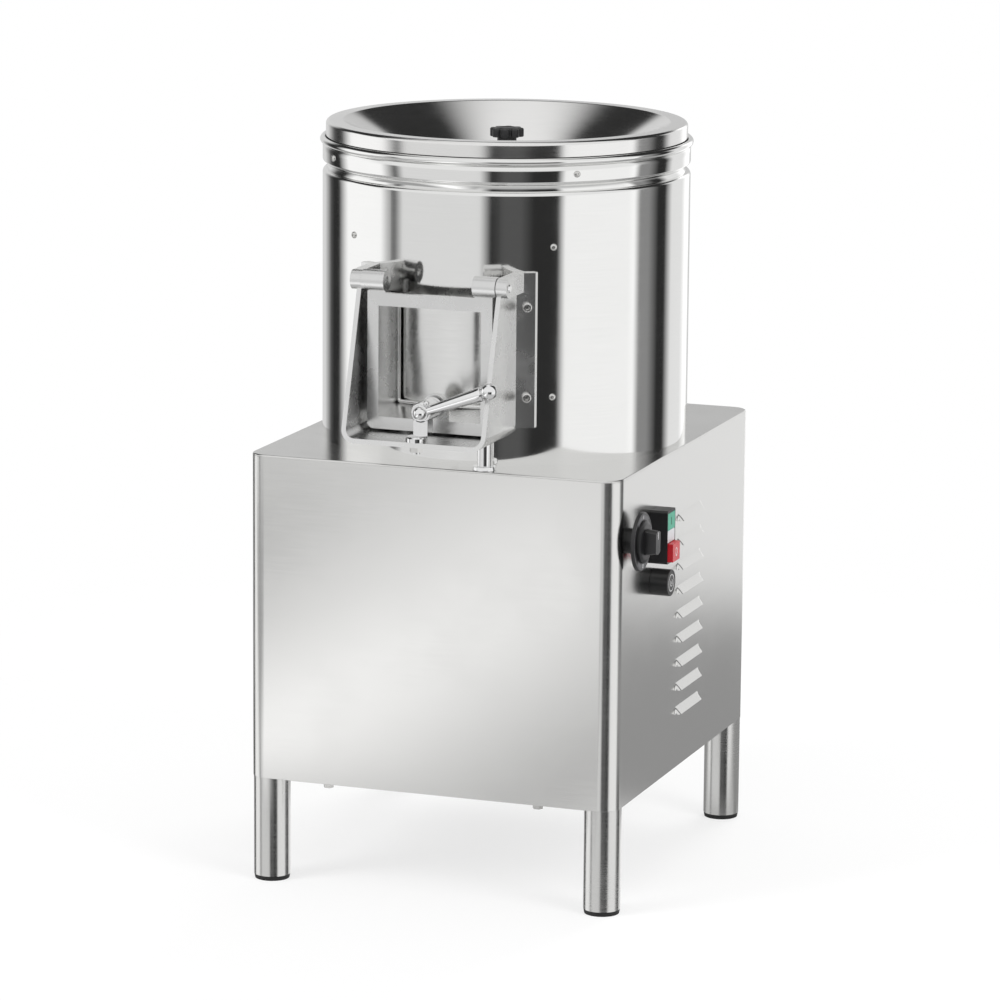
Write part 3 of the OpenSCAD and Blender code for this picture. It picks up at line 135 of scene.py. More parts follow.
def value_group(name, inputs, outputs, build):
    """A shader node group with named inputs and outputs that puts out only values."""
    g = bpy.data.node_groups.new(name, "ShaderNodeTree")
    for label, default in inputs:
        kind = "NodeSocketVector" if isinstance(default, tuple) else "NodeSocketFloat"
        s = g.interface.new_socket(label, in_out="INPUT", socket_type=kind)
        s.default_value = default
    for label in outputs:
        g.interface.new_socket(label, in_out="OUTPUT", socket_type="NodeSocketFloat")
    gi = g.nodes.new("NodeGroupInput")
    go = g.nodes.new("NodeGroupOutput")
    for label, socket in build(g, gi.outputs).items():
        link(g, socket, go.inputs[label])
    return g


def stretched_noise(g, scale, detail, rough=0.5):
    """Noise on Object coordinates, stretched by a scale vector."""
    tc = g.nodes.new("ShaderNodeTexCoord")
    mul = g.nodes.new("ShaderNodeVectorMath")
    mul.operation = "MULTIPLY"
    link(g, tc.outputs["Object"], mul.inputs[0])
    link(g, scale, mul.inputs[1])
    n = g.nodes.new("ShaderNodeTexNoise")
    n.inputs["Scale"].default_value = 1
    n.inputs["Detail"].default_value = detail
    n.inputs["Roughness"].default_value = rough
    link(g, mul.outputs[0], n.inputs["Vector"])
    return n.outputs["Fac"]


def even_scale(g, scale):
    """One scale for all three axes."""
    n = g.nodes.new("ShaderNodeCombineXYZ")
    for axis in range(3):
        link(g, scale, n.inputs[axis])
    return n.outputs[0]


def build_brushed(g, i):
    fine = stretched_noise(g, i["Stretch"], 3)
    return {"Lines": spread(g, fine, 0.3, 0.7)}


def build_smudge(g, i):
    cloud = stretched_noise(g, even_scale(g, i["Scale"]), 4, 0.6)
    return {"Mask": spread(g, cloud, 0.4, 0.68, smooth=True)}


def build_grain(g, i):
    fine = stretched_noise(g, even_scale(g, i["Scale"]), 5, 0.65)
    tc = g.nodes.new("ShaderNodeTexCoord")
    cells = g.nodes.new("ShaderNodeTexVoronoi")
    link(g, tc.outputs["Object"], cells.inputs["Vector"])
    link(g, i["Scale"], cells.inputs["Scale"])
    pits = calc(g, "MULTIPLY", cells.outputs["Distance"], i["Pits"])
    return {"Height": calc(g, "ADD", fine, pits)}


def build_upward(g, i):
    """How much a surface looks up, for dust that settles."""
    geo = g.nodes.new("ShaderNodeNewGeometry")
    sep = g.nodes.new("ShaderNodeSeparateXYZ")
    link(g, geo.outputs["True Normal"], sep.inputs[0])
    up = calc(g, "MAXIMUM", sep.outputs[2], 0.0)
    return {"Mask": calc(g, "MULTIPLY", up, i["Amount"])}


BRUSHED = value_group("brushed lines", [("Stretch", (30.0, 30.0, 2500.0))], ["Lines"], build_brushed)
SMUDGE = value_group("hand smudges", [("Scale", 14.0)], ["Mask"], build_smudge)
GRAIN = value_group("fine grain", [("Scale", 900.0), ("Pits", 0.5)], ["Height"], build_grain)
SETTLED = value_group("settled dust", [("Amount", 0.2)], ["Mask"], build_upward)


def use(tree, group, **values):
    """The output of a node group with its values set."""
    n = tree.nodes.new("ShaderNodeGroup")
    n.node_tree = group
    for k, v in values.items():
        n.inputs[k].default_value = v
    return n.outputs[0]


def lerp_colour(tree, fac, a, b):
    """a where fac is 0, b where it is 1; both are colours or sockets."""
    n = tree.nodes.new("ShaderNodeMix")
    n.data_type = "RGBA"
    link(tree, fac, n.inputs[0])
    # A Mix node's colour sockets are inputs 6 and 7 and output 2
    for socket, colour in ((n.inputs[6], a), (n.inputs[7], b)):
        if isinstance(colour, tuple):
            socket.default_value = (*colour, 1)
        else:
            link(tree, colour, socket)
    return n.outputs[2]


def fresh(name):
    m = bpy.data.materials.new(name)
    m.use_nodes = True
    t = m.node_tree
    return m, t, t.nodes["Principled BSDF"]


def bump(t, p, height, strength, depth_mm):
    """Gives the surface a relief that its normal follows."""
    n = t.nodes.new("ShaderNodeBump")
    n.inputs["Strength"].default_value = strength
    n.inputs["Distance"].default_value = depth_mm * MM
    link(t, height, n.inputs["Height"])
    link(t, n.outputs[0], p.inputs["Normal"])


def metal(name, colour, rough, stretch, line_depth, smear, shade, bump_mm):
    """Steel or chrome with drawn lines and smudges: colour, roughness and normal all vary."""
    m, t, p = fresh(name)
    lines = use(t, BRUSHED, Stretch=stretch)
    smudge = use(t, SMUDGE, Scale=11.0)
    dark = tuple(c * shade for c in colour)
    mix = calc(t, "MULTIPLY_ADD", smudge, 0.35, calc(t, "MULTIPLY", lines, 0.65))
    link(t, lerp_colour(t, mix, dark, colour), p.inputs["Base Color"])
    lined = calc(t, "MULTIPLY_ADD", lines, line_depth, rough - line_depth / 2)
    link(t, calc(t, "MULTIPLY_ADD", smudge, smear, lined, clamp=True), p.inputs["Roughness"])
    p.inputs["Metallic"].default_value = 1.0
    bump(t, p, lines, 0.25, bump_mm)
    return m


DUST = (0.35, 0.34, 0.32)


def grained(name, colour, rough, scale, bump_mm, shade, metallic=0.0, pits=0.5, smear=0.1, dust=0.0):
    """Cast or moulded surface with a fine grain, and dust on what looks up."""
    m, t, p = fresh(name)
    grain = use(t, GRAIN, Scale=scale, Pits=pits)
    smudge = use(t, SMUDGE, Scale=20.0)
    mix = calc(t, "MULTIPLY_ADD", grain, 0.6, calc(t, "MULTIPLY", smudge, 0.4), clamp=True)
    base = lerp_colour(t, mix, tuple(c * shade for c in colour), colour)
    if dust:
        base = lerp_colour(t, use(t, SETTLED, Amount=dust), base, DUST)
    link(t, base, p.inputs["Base Color"])
    link(t, calc(t, "MULTIPLY_ADD", smudge, smear, rough, clamp=True), p.inputs["Roughness"])
    p.inputs["Metallic"].default_value = metallic
    bump(t, p, grain, 0.5, bump_mm)
    return m


BRIGHT = (0.86, 0.86, 0.85)
# How closely the drawn lines follow each other along X, Y and Z
TURNED = (18.0, 18.0, 1600.0)
SPUN = (40.0, 40.0, 900.0)
M = {
    "polished": metal("polished drum steel", BRIGHT, 0.075, TURNED,
                      line_depth=0.02, smear=0.03, shade=0.96, bump_mm=0.0015),
    "rim": metal("polished hopper steel", (0.86, 0.855, 0.845), 0.13, SPUN,
                 line_depth=0.03, smear=0.04, shade=0.95, bump_mm=0.003),
    "satin": metal("satin cabinet steel", (0.77, 0.767, 0.755), 0.2, (20.0, 20.0, 2400.0),
                   line_depth=0.05, smear=0.03, shade=0.965, bump_mm=0.0015),
    "deck": metal("satin deck steel", (0.78, 0.777, 0.765), 0.2, (20.0, 2400.0, 20.0),
                  line_depth=0.05, smear=0.03, shade=0.965, bump_mm=0.0015),
    "plate": metal("polished closing plate", BRIGHT, 0.2, SPUN,
                   line_depth=0.04, smear=0.05, shade=0.93, bump_mm=0.003),
    "leg": metal("brushed leg steel", (0.74, 0.737, 0.725), 0.2, (26.0, 26.0, 1500.0),
                 line_depth=0.1, smear=0.06, shade=0.92, bump_mm=0.008),
    "chrome": metal("chrome plate", (0.88, 0.88, 0.88), 0.06, (300.0, 300.0, 300.0),
                    line_depth=0.03, smear=0.05, shade=0.95, bump_mm=0.002),
    "turned": metal("turned steel", (0.62, 0.62, 0.61), 0.28, (60.0, 60.0, 3000.0),
                    line_depth=0.14, smear=0.08, shade=0.8, bump_mm=0.02),
    "fastener": metal("stainless fastener", (0.74, 0.735, 0.72), 0.2, (700.0, 700.0, 700.0),
                      line_depth=0.1, smear=0.1, shade=0.85, bump_mm=0.01),
    "brass": metal("turned brass", (0.75, 0.55, 0.26), 0.24, (60.0, 3000.0, 60.0),
                   line_depth=0.1, smear=0.1, shade=0.8, bump_mm=0.02),
    "edge": metal("polished casting edge", BRIGHT, 0.16, (500.0, 500.0, 500.0),
                  line_depth=0.08, smear=0.05, shade=0.92, bump_mm=0.01),
    "cast": grained("cast aluminium", (0.78, 0.78, 0.775), 0.24, 1300.0, 0.03, shade=0.86,
                    metallic=1.0, smear=0.08),
    "black": grained("black moulded plastic", (0.012, 0.012, 0.013), 0.34, 2200.0, 0.02, shade=0.6,
                     dust=0.05),
    "foot": grained("black foot plastic", (0.014, 0.014, 0.014), 0.55, 1800.0, 0.03, shade=0.6,
                    dust=0.05),
    "grey": grained("grey moulded plastic", (0.12, 0.12, 0.125), 0.42, 1800.0, 0.02, shade=0.85,
                    dust=0.04),
    "rubber": grained("black rubber", (0.016, 0.016, 0.016), 0.62, 1500.0, 0.03, shade=0.6, dust=0.06),
    "green": grained("green button plastic", (0.055, 0.36, 0.235), 0.3, 1500.0, 0.01, shade=0.93),
    "red": grained("red button plastic", (0.52, 0.012, 0.022), 0.26, 1500.0, 0.01, shade=0.9),
    "lens": grained("milky lens plastic", (0.60, 0.60, 0.62), 0.25, 1500.0, 0.01, shade=0.93),
    "white": grained("white marking", (0.8, 0.8, 0.8), 0.45, 1500.0, 0.005, shade=0.95),
    "grit": grained("abrasive grit", (0.16, 0.15, 0.14), 0.85, 520.0, 0.8, shade=0.35, pits=1.5),
    "enamel": grained("blue-grey motor enamel", (0.10, 0.14, 0.19), 0.38, 900.0, 0.05, shade=0.85,
                      dust=0.12),
}


# ---------- mesh helpers ----------
def piece(name, mesh, node, key, stands=True):
    """A finished mesh as a named piece that rides with its CAD node's body."""
    if not mesh.materials:
        mesh.materials.append(M[key])
    ob = bpy.data.objects.new(name, mesh)
    bpy.context.scene.collection.objects.link(ob)
    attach(ob, body_of_node[node])
    if stands:
        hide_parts(node)
    return ob


def meshed(name, bm, angle):
    bmesh.ops.recalc_face_normals(bm, faces=bm.faces)
    mesh = bpy.data.meshes.new(name)
    bm.to_mesh(mesh)
    bm.free()
    for f in mesh.polygons:
        f.use_smooth = True
    mesh.set_sharp_from_angle(angle=radians(angle))
    return mesh


def merged_copy(node):
    """A bmesh of a CAD node with its loose triangles joined and flat areas made whole."""
    bm = bmesh.new()
    bm.from_mesh(nodes[node].data)
    bmesh.ops.remove_doubles(bm, verts=bm.verts, dist=2e-6)
    bmesh.ops.dissolve_limit(bm, angle_limit=radians(0.2), verts=bm.verts, edges=bm.edges,
                             use_dissolve_boundaries=False)
    return bm


def baked(ob):
    """The object's mesh with its modifiers applied."""
    dg = bpy.context.evaluated_depsgraph_get()
    mesh = bpy.data.meshes.new_from_object(ob.evaluated_get(dg), preserve_all_data_layers=True, depsgraph=dg)
    bpy.data.objects.remove(ob)
    return mesh


def edged(name, mesh, key, edge, width, steps, angle):
    """Rounds the hard edges of a mesh and keeps its flats flat; the roundings may have their own finish."""
    mesh.materials.clear()
    mesh.materials.append(M[key])
    mesh.materials.append(M[edge or key])
    for f in mesh.polygons:
        f.use_smooth = True
    tmp = bpy.data.objects.new("tmp", mesh)
    bpy.context.scene.collection.objects.link(tmp)
    mod = tmp.modifiers.new("round", "BEVEL")
    mod.width = width * MM
    mod.segments = steps
    mod.limit_method = "ANGLE"
    mod.angle_limit = radians(angle)
    mod.use_clamp_overlap = True
    mod.miter_outer = "MITER_ARC"
    mod.material = 1
    even = tmp.modifiers.new("even shading", "WEIGHTED_NORMAL")
    even.keep_sharp = True
    out = baked(tmp)
    out.name = name
    return out


CAD_CREASE = 32


def dressed(name, node, key, edge, width, steps):
    """A CAD node's shape with rounded edges, as the piece that stands for it."""
    bm = merged_copy(node)
    mesh = bpy.data.meshes.new(name)
    bm.to_mesh(mesh)
    bm.free()
    return piece(name, edged(name, mesh, key, edge, width, steps, CAD_CREASE), node, key)


def arc(x, z, r, start, end, steps):
    """Points of a round stretch between two angles in degrees."""
    turns = [radians(start + (end - start) * i / steps) for i in range(steps + 1)]
    return [(x + r * cos(t), z + r * sin(t)) for t in turns]


def shares(steps):
    """Numbers from -1 to 1 that lie closer together towards the ends."""
    return [sin(pi / 2 * (2 * i / steps - 1)) for i in range(steps + 1)]


def spin(bm, section, place, steps):
    """Adds a solid of revolution: closed section of (radius, height) turned round +Z, then placed."""
    rings = [[bm.verts.new(place @ Vector((r * cos(t), r * sin(t), z))) for r, z in section]
             for t in (2 * pi * i / steps for i in range(steps))]
    for a, b in zip(rings, rings[1:] + rings[:1]):
        for j in range(len(section)):
            k = (j + 1) % len(section)
            bm.faces.new((a[j], b[j], b[k], a[k]))


def lathe(name, section, node, key, steps=288, angle=40):
    """Spins a closed section of (radius, height) points in mm round the drum's axis."""
    bm = bmesh.new()
    spin(bm, section, Matrix.Translation(DRUM_AXIS) @ Matrix.Scale(MM, 4), steps)
    return piece(name, meshed(name, bm, angle), node, key)


def along(direction, at):
    """Millimetres to metres, with +Z turned to a direction and the origin moved to a point."""
    turn = Vector(direction).to_track_quat("Z", "Y").to_matrix().to_4x4()
    return Matrix.Translation(Vector(at) * MM) @ turn @ Matrix.Scale(MM, 4)


def two_skins(bm, outer, inner, opened, closed):
    """Sheet between two grids of points in mm (columns of levels); opened(column, level) leaves a hole."""
    o = [[bm.verts.new(Vector(p) * MM) for p in col] for col in outer]
    i = [[bm.verts.new(Vector(p) * MM) for p in col] for col in inner]
    columns, levels = len(o), len(o[0])
    spans = columns if closed else columns - 1

    def hole(c, l):
        if closed:
            c %= columns
        return not (0 <= c < spans and 0 <= l < levels - 1) or opened(c, l)

    for c in range(spans):
        d = (c + 1) % columns
        for l in range(levels - 1):
            if opened(c, l):
                continue
            bm.faces.new((o[c][l], o[d][l], o[d][l + 1], o[c][l + 1]))
            bm.faces.new((i[c][l], i[c][l + 1], i[d][l + 1], i[d][l]))
            if hole(c - 1, l):
                bm.faces.new((o[c][l], o[c][l + 1], i[c][l + 1], i[c][l]))
            if hole(c + 1, l):
                bm.faces.new((o[d][l], i[d][l], i[d][l + 1], o[d][l + 1]))
            if hole(c, l - 1):
                bm.faces.new((o[c][l], i[c][l], i[d][l], o[d][l]))
            if hole(c, l + 1):
                bm.faces.new((o[c][l + 1], o[d][l + 1], i[d][l + 1], i[c][l + 1]))
    loose = [v for v in bm.verts if not v.link_faces]
    bmesh.ops.delete(bm, geom=loose, context="VERTS")


def slab(bm, outline, hollow, place):
    """A plate from two loops of the same length (outer, inner) in the XY plane, one unit thick."""
    n = len(outline)
    loops = [[bm.verts.new(place @ Vector((x, y, z))) for x, y in loop]
             for loop in (outline, hollow) for z in (0, 1)]
    for i in range(n):
        j = (i + 1) % n
        for a, b in ((0, 1), (1, 3), (3, 2), (2, 0)):
            bm.faces.new((loops[a][i], loops[a][j], loops[b][j], loops[b][i]))


def prism(bm, outline, place, height=1):
    low = [bm.verts.new(place @ Vector((x, y, 0))) for x, y in outline]
    top = [bm.verts.new(place @ Vector((x, y, height))) for x, y in outline]
    bm.faces.new(low)
    bm.faces.new(top)
    for i in range(len(outline)):
        j = (i + 1) % len(outline)
        bm.faces.new((low[i], low[j], top[j], top[i]))


# ---------- repeated shapes ----------
def repeat_tree(name, ring):
    """Copies one shape down a row, or round an upright axis."""
    g = bpy.data.node_groups.new(name, "GeometryNodeTree")

    def socket(label, kind, default=None, way="INPUT"):
        s = g.interface.new_socket(label, in_out=way, socket_type="NodeSocket" + kind)
        if default is not None:
            s.default_value = default

    socket("Shape", "Geometry")
    socket("Count", "Int", 4)
    if ring:
        socket("Axis", "Vector", (0.0, 0.0, 0.0))
        socket("First Turn", "Float", 0.0)
    else:
        socket("Pitch", "Float", 0.027)
    socket("Finish", "Material")
    socket("Shape", "Geometry", way="OUTPUT")
    gi = g.nodes.new("NodeGroupInput").outputs
    go = g.nodes.new("NodeGroupOutput")
    line = g.nodes.new("GeometryNodeMeshLine")
    link(g, gi["Count"], line.inputs["Count"])
    copies = g.nodes.new("GeometryNodeInstanceOnPoints")
    link(g, line.outputs[0], copies.inputs["Points"])
    link(g, gi["Shape"], copies.inputs["Instance"])
    combine = g.nodes.new("ShaderNodeCombineXYZ")
    if ring:
        link(g, gi["Axis"], line.inputs["Start Location"])
        line.inputs["Offset"].default_value = (0, 0, 0)
        index = g.nodes.new("GeometryNodeInputIndex").outputs[0]
        step = calc(g, "DIVIDE", 2 * pi, gi["Count"])
        link(g, calc(g, "MULTIPLY_ADD", index, step, gi["First Turn"]), combine.inputs[2])
        turn = g.nodes.new("FunctionNodeEulerToRotation")
        link(g, combine.outputs[0], turn.inputs[0])
        link(g, turn.outputs[0], copies.inputs["Rotation"])
    else:
        link(g, calc(g, "MULTIPLY", gi["Pitch"], -1.0), combine.inputs[2])
        link(g, combine.outputs[0], line.inputs["Offset"])
    real = g.nodes.new("GeometryNodeRealizeInstances")
    link(g, copies.outputs[0], real.inputs[0])
    finish = g.nodes.new("GeometryNodeSetMaterial")
    link(g, real.outputs[0], finish.inputs["Geometry"])
    link(g, gi["Finish"], finish.inputs["Material"])
    link(g, finish.outputs[0], go.inputs[0])
    return g


ROW = repeat_tree("row of louvres", False)
RING = repeat_tree("ring round an axis", True)


def repeated(name, shape, tree, node, key, stands=True, **values):
    ob = bpy.data.objects.new("tmp", shape)
    bpy.context.scene.collection.objects.link(ob)
    mod = ob.modifiers.new("copies", "NODES")
    mod.node_group = tree
    values["Finish"] = M[key]
    for item in tree.interface.items_tree:
        label = item.name.replace(" ", "_")
        if item.in_out == "INPUT" and label in values:
            mod[item.identifier] = values[label]
    mesh = baked(ob)
    mesh.name = name
    return piece(name, mesh, node, key, stands)


# ---------- cabinet ----------
SHEET = 1.5
CORNER_R = 20
CORNER_STEPS = 16
# Half the width of the service opening behind, and how far the folded bottom edge reaches in
BACK_HALF = 175.0
FLANGE = 42

LOUVRE_N = 9
LOUVRE_TOP = UNDER_Z + 285
LOUVRE_PITCH = 27.0
LOUVRE_H = 8.5
LOUVRE_OUT = 6.0
LOUVRE_Y = 11.5
LOUVRE_HALF = 42.0
# How much smaller the hole behind a louvre is, at each end and at its top
LOUVRE_LAP = 1
LOUVRE_LIP = 0.8


def rounded_path(half_x, half_y, r):
    """Rounded rectangle, starting behind on the right and running clockwise seen from above."""
    path = []
    for right, back, start in ((1, 1, 90), (1, -1, 0), (-1, -1, -90), (-1, 1, -180)):
        path += arc(right * (half_x - r), back * (half_y - r), r, start, start - 90, CORNER_STEPS)
    return path


def cabinet_wrap():
    """Sheet folded round four sides, open behind for the service panel and behind each louvre."""
    past_corner = CORNER_STEPS + 1

    def sided(inset):
        wall = CAB_X - inset
        path = rounded_path(wall, CAB_Y - inset, CORNER_R - inset)
        path.insert(past_corner, (wall, LOUVRE_Y + LOUVRE_HALF - LOUVRE_LAP))
        path.insert(past_corner + 1, (wall, LOUVRE_Y - LOUVRE_HALF + LOUVRE_LAP))
        return [(BACK_HALF, CAB_Y - inset)] + path + [(-BACK_HALF, CAB_Y - inset)]

    tops = [LOUVRE_TOP - LOUVRE_PITCH * i for i in range(LOUVRE_N)]
    levels = sorted([UNDER_Z, UNDER_Z + SHEET, SHELL_TOP - 1, SHELL_TOP]
                    + [t - LOUVRE_LIP for t in tops] + [t - LOUVRE_H for t in tops])
    outer = [[(x, y, z) for z in levels] for x, y in sided(0)]
    inner = [[(x, y, z) for z in levels] for x, y in sided(SHEET)]

    def opened(column, level):
        return column == past_corner + 1 and any(abs(levels[level + 1] - t + LOUVRE_LIP) < 0.1 for t in tops)

    bm = bmesh.new()
    two_skins(bm, outer, inner, opened, False)
    wide = rounded_path(CAB_X - 1, CAB_Y - 1, CORNER_R - 1)
    narrow = rounded_path(CAB_X - FLANGE, CAB_Y - FLANGE, 5)
    flange = Matrix.Translation((0, 0, UNDER_Z * MM)) @ Matrix.Diagonal((MM, MM, SHEET * MM, 1))
    slab(bm, wide, narrow, flange)
    piece("cabinet_wrap", edged("cabinet_wrap", meshed("wrap", bm, 60), "satin", None, 0.25, 1, 60),
          "cabinet_shell", "satin")


def louvre_shape():
    """One pressed louvre: a hood that leans out to its open lower edge, with soft folds at its ends."""
    across, down = 40, 10
    fold, skin, ease = 4.5, 0.9, 0.12

    def height(u, v):
        end = min(1.0, (LOUVRE_HALF - abs(u)) / fold)
        end = end * end * (3 - 2 * end)
        lean = v * v / (v + ease) * (1 + ease)
        return LOUVRE_OUT * end * lean

    def hood(wall):
        return [[(wall + height(u, j / down), LOUVRE_Y + u, LOUVRE_TOP - LOUVRE_H * j / down)
                 for j in range(down + 1)]
                for u in (LOUVRE_HALF * share for share in shares(across))]

    bm = bmesh.new()
    two_skins(bm, hood(CAB_X), hood(CAB_X - skin), lambda column, level: False, False)
    return meshed("louvre", bm, 50)


cabinet_wrap()
repeated("side_louvres", louvre_shape(), ROW, "cabinet_shell", "satin", False,
         Count=LOUVRE_N, Pitch=LOUVRE_PITCH * MM)
dressed("deck_plate", "cabinet_deck", "deck", "edge", 0.2, 1)


# ---------- drum and hopper ----------
SHOULDER_Z = DECK_Z + 292.5
COLLAR_Z = SHOULDER_Z + 8.5
# The opening in the drum wall behind the discharge door: levels, and half its width
DOOR_LOW, DOOR_HIGH, DOOR_HALF = 522.5, 653.5, 60.5
# Radii of the hopper's cone at its top and at its throat, and of the inner lid
CONE_R, THROAT_R, LID_R = 176.5, 82, 96
SLOPE = tan(radians(32))


def drum_shell():
    """Drum wall with its rounded shoulder, groove and door opening."""
    steps, wall, neck_wall, bend = 240, 2, 1.8, 4.8
    outer = [(DRUM_R, z) for z in (DECK_Z, DECK_Z + 1, 500, DOOR_LOW, 560, 610, DOOR_HIGH, 700, 750)]
    outer += arc(DRUM_R - bend, SHOULDER_Z - bend, bend, 0, 90, 10)
    outer += [(DRUM_R - bend, SHOULDER_Z + 4.8), (DRUM_R - 4.4, SHOULDER_Z + 5.5),
              (DRUM_R - 2.7, SHOULDER_Z + 7.5), (DRUM_R - 2.2, COLLAR_Z), (DRUM_R - 2.2, COLLAR_Z + 14)]
    straight = SHOULDER_Z - bend + 0.1
    inner = [(DRUM_R - wall if z < straight else r - neck_wall, z) for r, z in outer]
    half = asin(DOOR_HALF / (DRUM_R - wall / 2))
    front = -pi / 2
    turns = sorted({front - half, front + half, *(2 * pi * i / steps - pi for i in range(steps))})

    def skin(points):
        return [[(DRUM_X + r * cos(t), DRUM_Y + r * sin(t), z) for r, z in points] for t in turns]

    def opened(column, level):
        if column + 1 == len(turns):
            return False
        turn = (turns[column] + turns[column + 1]) / 2
        z = (outer[level][1] + outer[level + 1][1]) / 2
        return abs(turn - front) < half and DOOR_LOW < z < DOOR_HIGH

    bm = bmesh.new()
    two_skins(bm, skin(outer), skin(inner), opened, True)
    piece("drum_shell", meshed("drum_shell", bm, 38), "drum_wall", "polished")


def collar_band():
    """The lower edge curls in, then the band, then the rolled bead."""
    r, z, bead = DRUM_R, COLLAR_Z, 3.8
    band = [(r - 1.8, z + 16), (r - 1.8, z + 0.05)] + arc(r - 2, z + 2, 2, -84, 0, 6)
    band += [(r, z + 12), (r, z + 17.2), (r - 1, z + 18.2), (r - 1.4, z + 18.8)]
    band += arc(r - 1, z + 19 + bead, bead, -84, 200, 28)
    lathe("collar_band", band, "collar", "polished", angle=50)


def hopper_gasket():
    low, high = COLLAR_Z + 23.8, COLLAR_Z + 27.2
    inside, outside = DRUM_R - 7.1, DRUM_R - 3.9
    ring = [(inside, low), (outside - 0.3, low), (outside, low + 0.6), (outside, high), (inside, high)]
    lathe("hopper_gasket", ring, "hopper_seal", "rubber")


def hopper_bowl():
    """Skirt, rolled rim, cone and the turned-down edge of the throat, in one sheet."""
    lip, top, lip_r = DRUM_R - 3.5, RIM_Z, 4
    throat = top - (CONE_R - THROAT_R) * SLOPE
    bowl = [(lip, top - 16.2), (lip, top - 10.5)] + arc(lip - lip_r, top - lip_r, lip_r, 0, 90, 10)
    bowl += arc(lip - 18, top - lip_r, lip_r, 90, 122, 6) + [(130, top - (CONE_R - 130) * SLOPE)]
    bowl += [(THROAT_R + 2, throat + 2 * SLOPE), (THROAT_R + 0.6, throat), (THROAT_R, throat - 1.2)]
    bowl += [(THROAT_R, throat - 8), (THROAT_R + SHEET, throat - 8), (THROAT_R + SHEET, throat - 1.6)]
    bowl += [(THROAT_R + 3, throat), (177.2, top - 1.9), (178.6, top - SHEET)]
    bowl += arc(lip - lip_r, top - lip_r, lip_r - SHEET, 90, 0, 6)
    bowl += [(lip - SHEET, top - 14.7), (lip - 5.5, top - 14.7), (lip - 5.5, top - 45.5),
             (lip - 4, top - 45.5), (lip - 4, top - 16.2)]
    lathe("hopper_bowl", bowl, "hopper", "rim", angle=50)


def lid_disc():
    z = RIM_Z - (CONE_R - LID_R) * SLOPE + 0.2
    plate = [(4.3, z), (LID_R - 0.4, z)] + arc(LID_R + 1.2, z + 1, 1, -80, 80, 6)
    plate += [(60, z + 2.1), (30, z + 2.6), (24, z + 4.6), (14, z + 6), (4.3, z + 6)]
    lathe("lid_disc", plate, "inner_lid", "rim", steps=160, angle=50)


def star_knob():
    """Lobed head on a stepped hub."""
    lobes, lobe_out = 8, 13.5
    top = RIM_Z - 8.1
    hub = [(4.2, -17.8), (9.6, -17.8), (10.5, -16.9), (10.5, -11), (12, -10), (14.2, -9.8), (14.6, -9.2),
           (14.6, -1.5), (13, -0.4), (9, 0), (8, -0.6), (0.4, -0.6), (0.4, -3), (4.2, -4)]
    lathe("star_knob_hub", [(r, top + z) for r, z in hub], "star_knob", "black", steps=96, angle=35)
    lobe = [(0.02, -10)] + arc(4.0, -9, 1, -90, 0, 3) + arc(3.2, -2.3, 1.8, 0, 80, 5) + [(0.02, -0.4)]
    bm = bmesh.new()
    place = Matrix.Translation((lobe_out * MM, 0, 0)) @ Matrix.Scale(MM, 4)
    spin(bm, [(r, top + z) for r, z in lobe], place, 20)
    repeated("star_knob_lobes", meshed("lobe", bm, 50), RING, "star_knob", "black", False,
             Count=lobes, Axis=DRUM_AXIS, First_Turn=radians(12))


drum_shell()
collar_band()
hopper_gasket()
hopper_bowl()
lid_disc()
star_knob()


# ---------- screws ----------
BAND_SCREW = {"r": 3.6, "h": 1.8, "socket": 1.5, "depth": 1.1, "dome": 0.75}
FLANGE_SCREW = {"r": 4.98, "h": 6, "socket": 2.75, "depth": 3.4, "dome": 0.12}


def screw_head(bm, place, r, h, socket, depth, dome):
    """Round head with a six-sided socket; dome is how much of its height is rounded."""
    n, draw_in = 24, 0.35
    turns = [2 * pi * i / n for i in range(n)]
    side = [(r, 0.0), (r, h * (1 - dome))]
    side += [(r * (1 - draw_in * (1 - cos(a)) * (1 + dome)), h * (1 - dome) + h * dome * sin(a))
             for a in (pi / 8, pi / 4, 3 * pi / 8, pi / 2)]

    def ring(radii, z):
        return [bm.verts.new(place @ Vector((a * cos(t), a * sin(t), z))) for a, t in zip(radii, turns)]

    hexagon = [socket * cos(pi / 6) / cos(t % (pi / 3) - pi / 6) for t in turns]
    rings = [ring([a] * n, z) for a, z in side] + [ring(hexagon, h), ring(hexagon, h - depth)]
    for a, b in zip(rings, rings[1:]):
        for i in range(n):
            j = (i + 1) % n
            bm.faces.new((a[i], a[j], b[j], b[i]))
    bm.faces.new(rings[-1])
    bm.faces.new(list(reversed(rings[0])))


def round_the_drum(angle, level, r):
    """Place on the drum, measured from the front, with +Z pointing away from the axis."""
    t = radians(angle)
    out = Vector((sin(t), -cos(t), 0))
    return along(out, (r * out.x, r * out.y, level))


def drum_screws(name, node, size, places, seat, **ring):
    """Screws at some angles and levels, copied in a ring round the drum's axis."""
    bm = bmesh.new()
    for angle, level in places:
        screw_head(bm, round_the_drum(angle, level, seat), **size)
    repeated(name, meshed(name, bm, 30), RING, node, "fastener", Axis=DRUM_AXIS, **ring)


drum_screws("band_screws", "liner_screws", BAND_SCREW,
            [(angle, level) for angle in (-34.3, 34.3) for level in (547, 707)], DRUM_R, Count=2)
drum_screws("collar_band_screws", "collar_screws", BAND_SCREW,
            [(0, COLLAR_Z + 9.5)], DRUM_R, Count=4, First_Turn=radians(41.5))
drum_screws("flange_screws", "chute_screws", FLANGE_SCREW,
            [(angle, level) for level in (548.5, 645) for angle in (-26.03, 26.03)], DRUM_R + 6.2, Count=1)


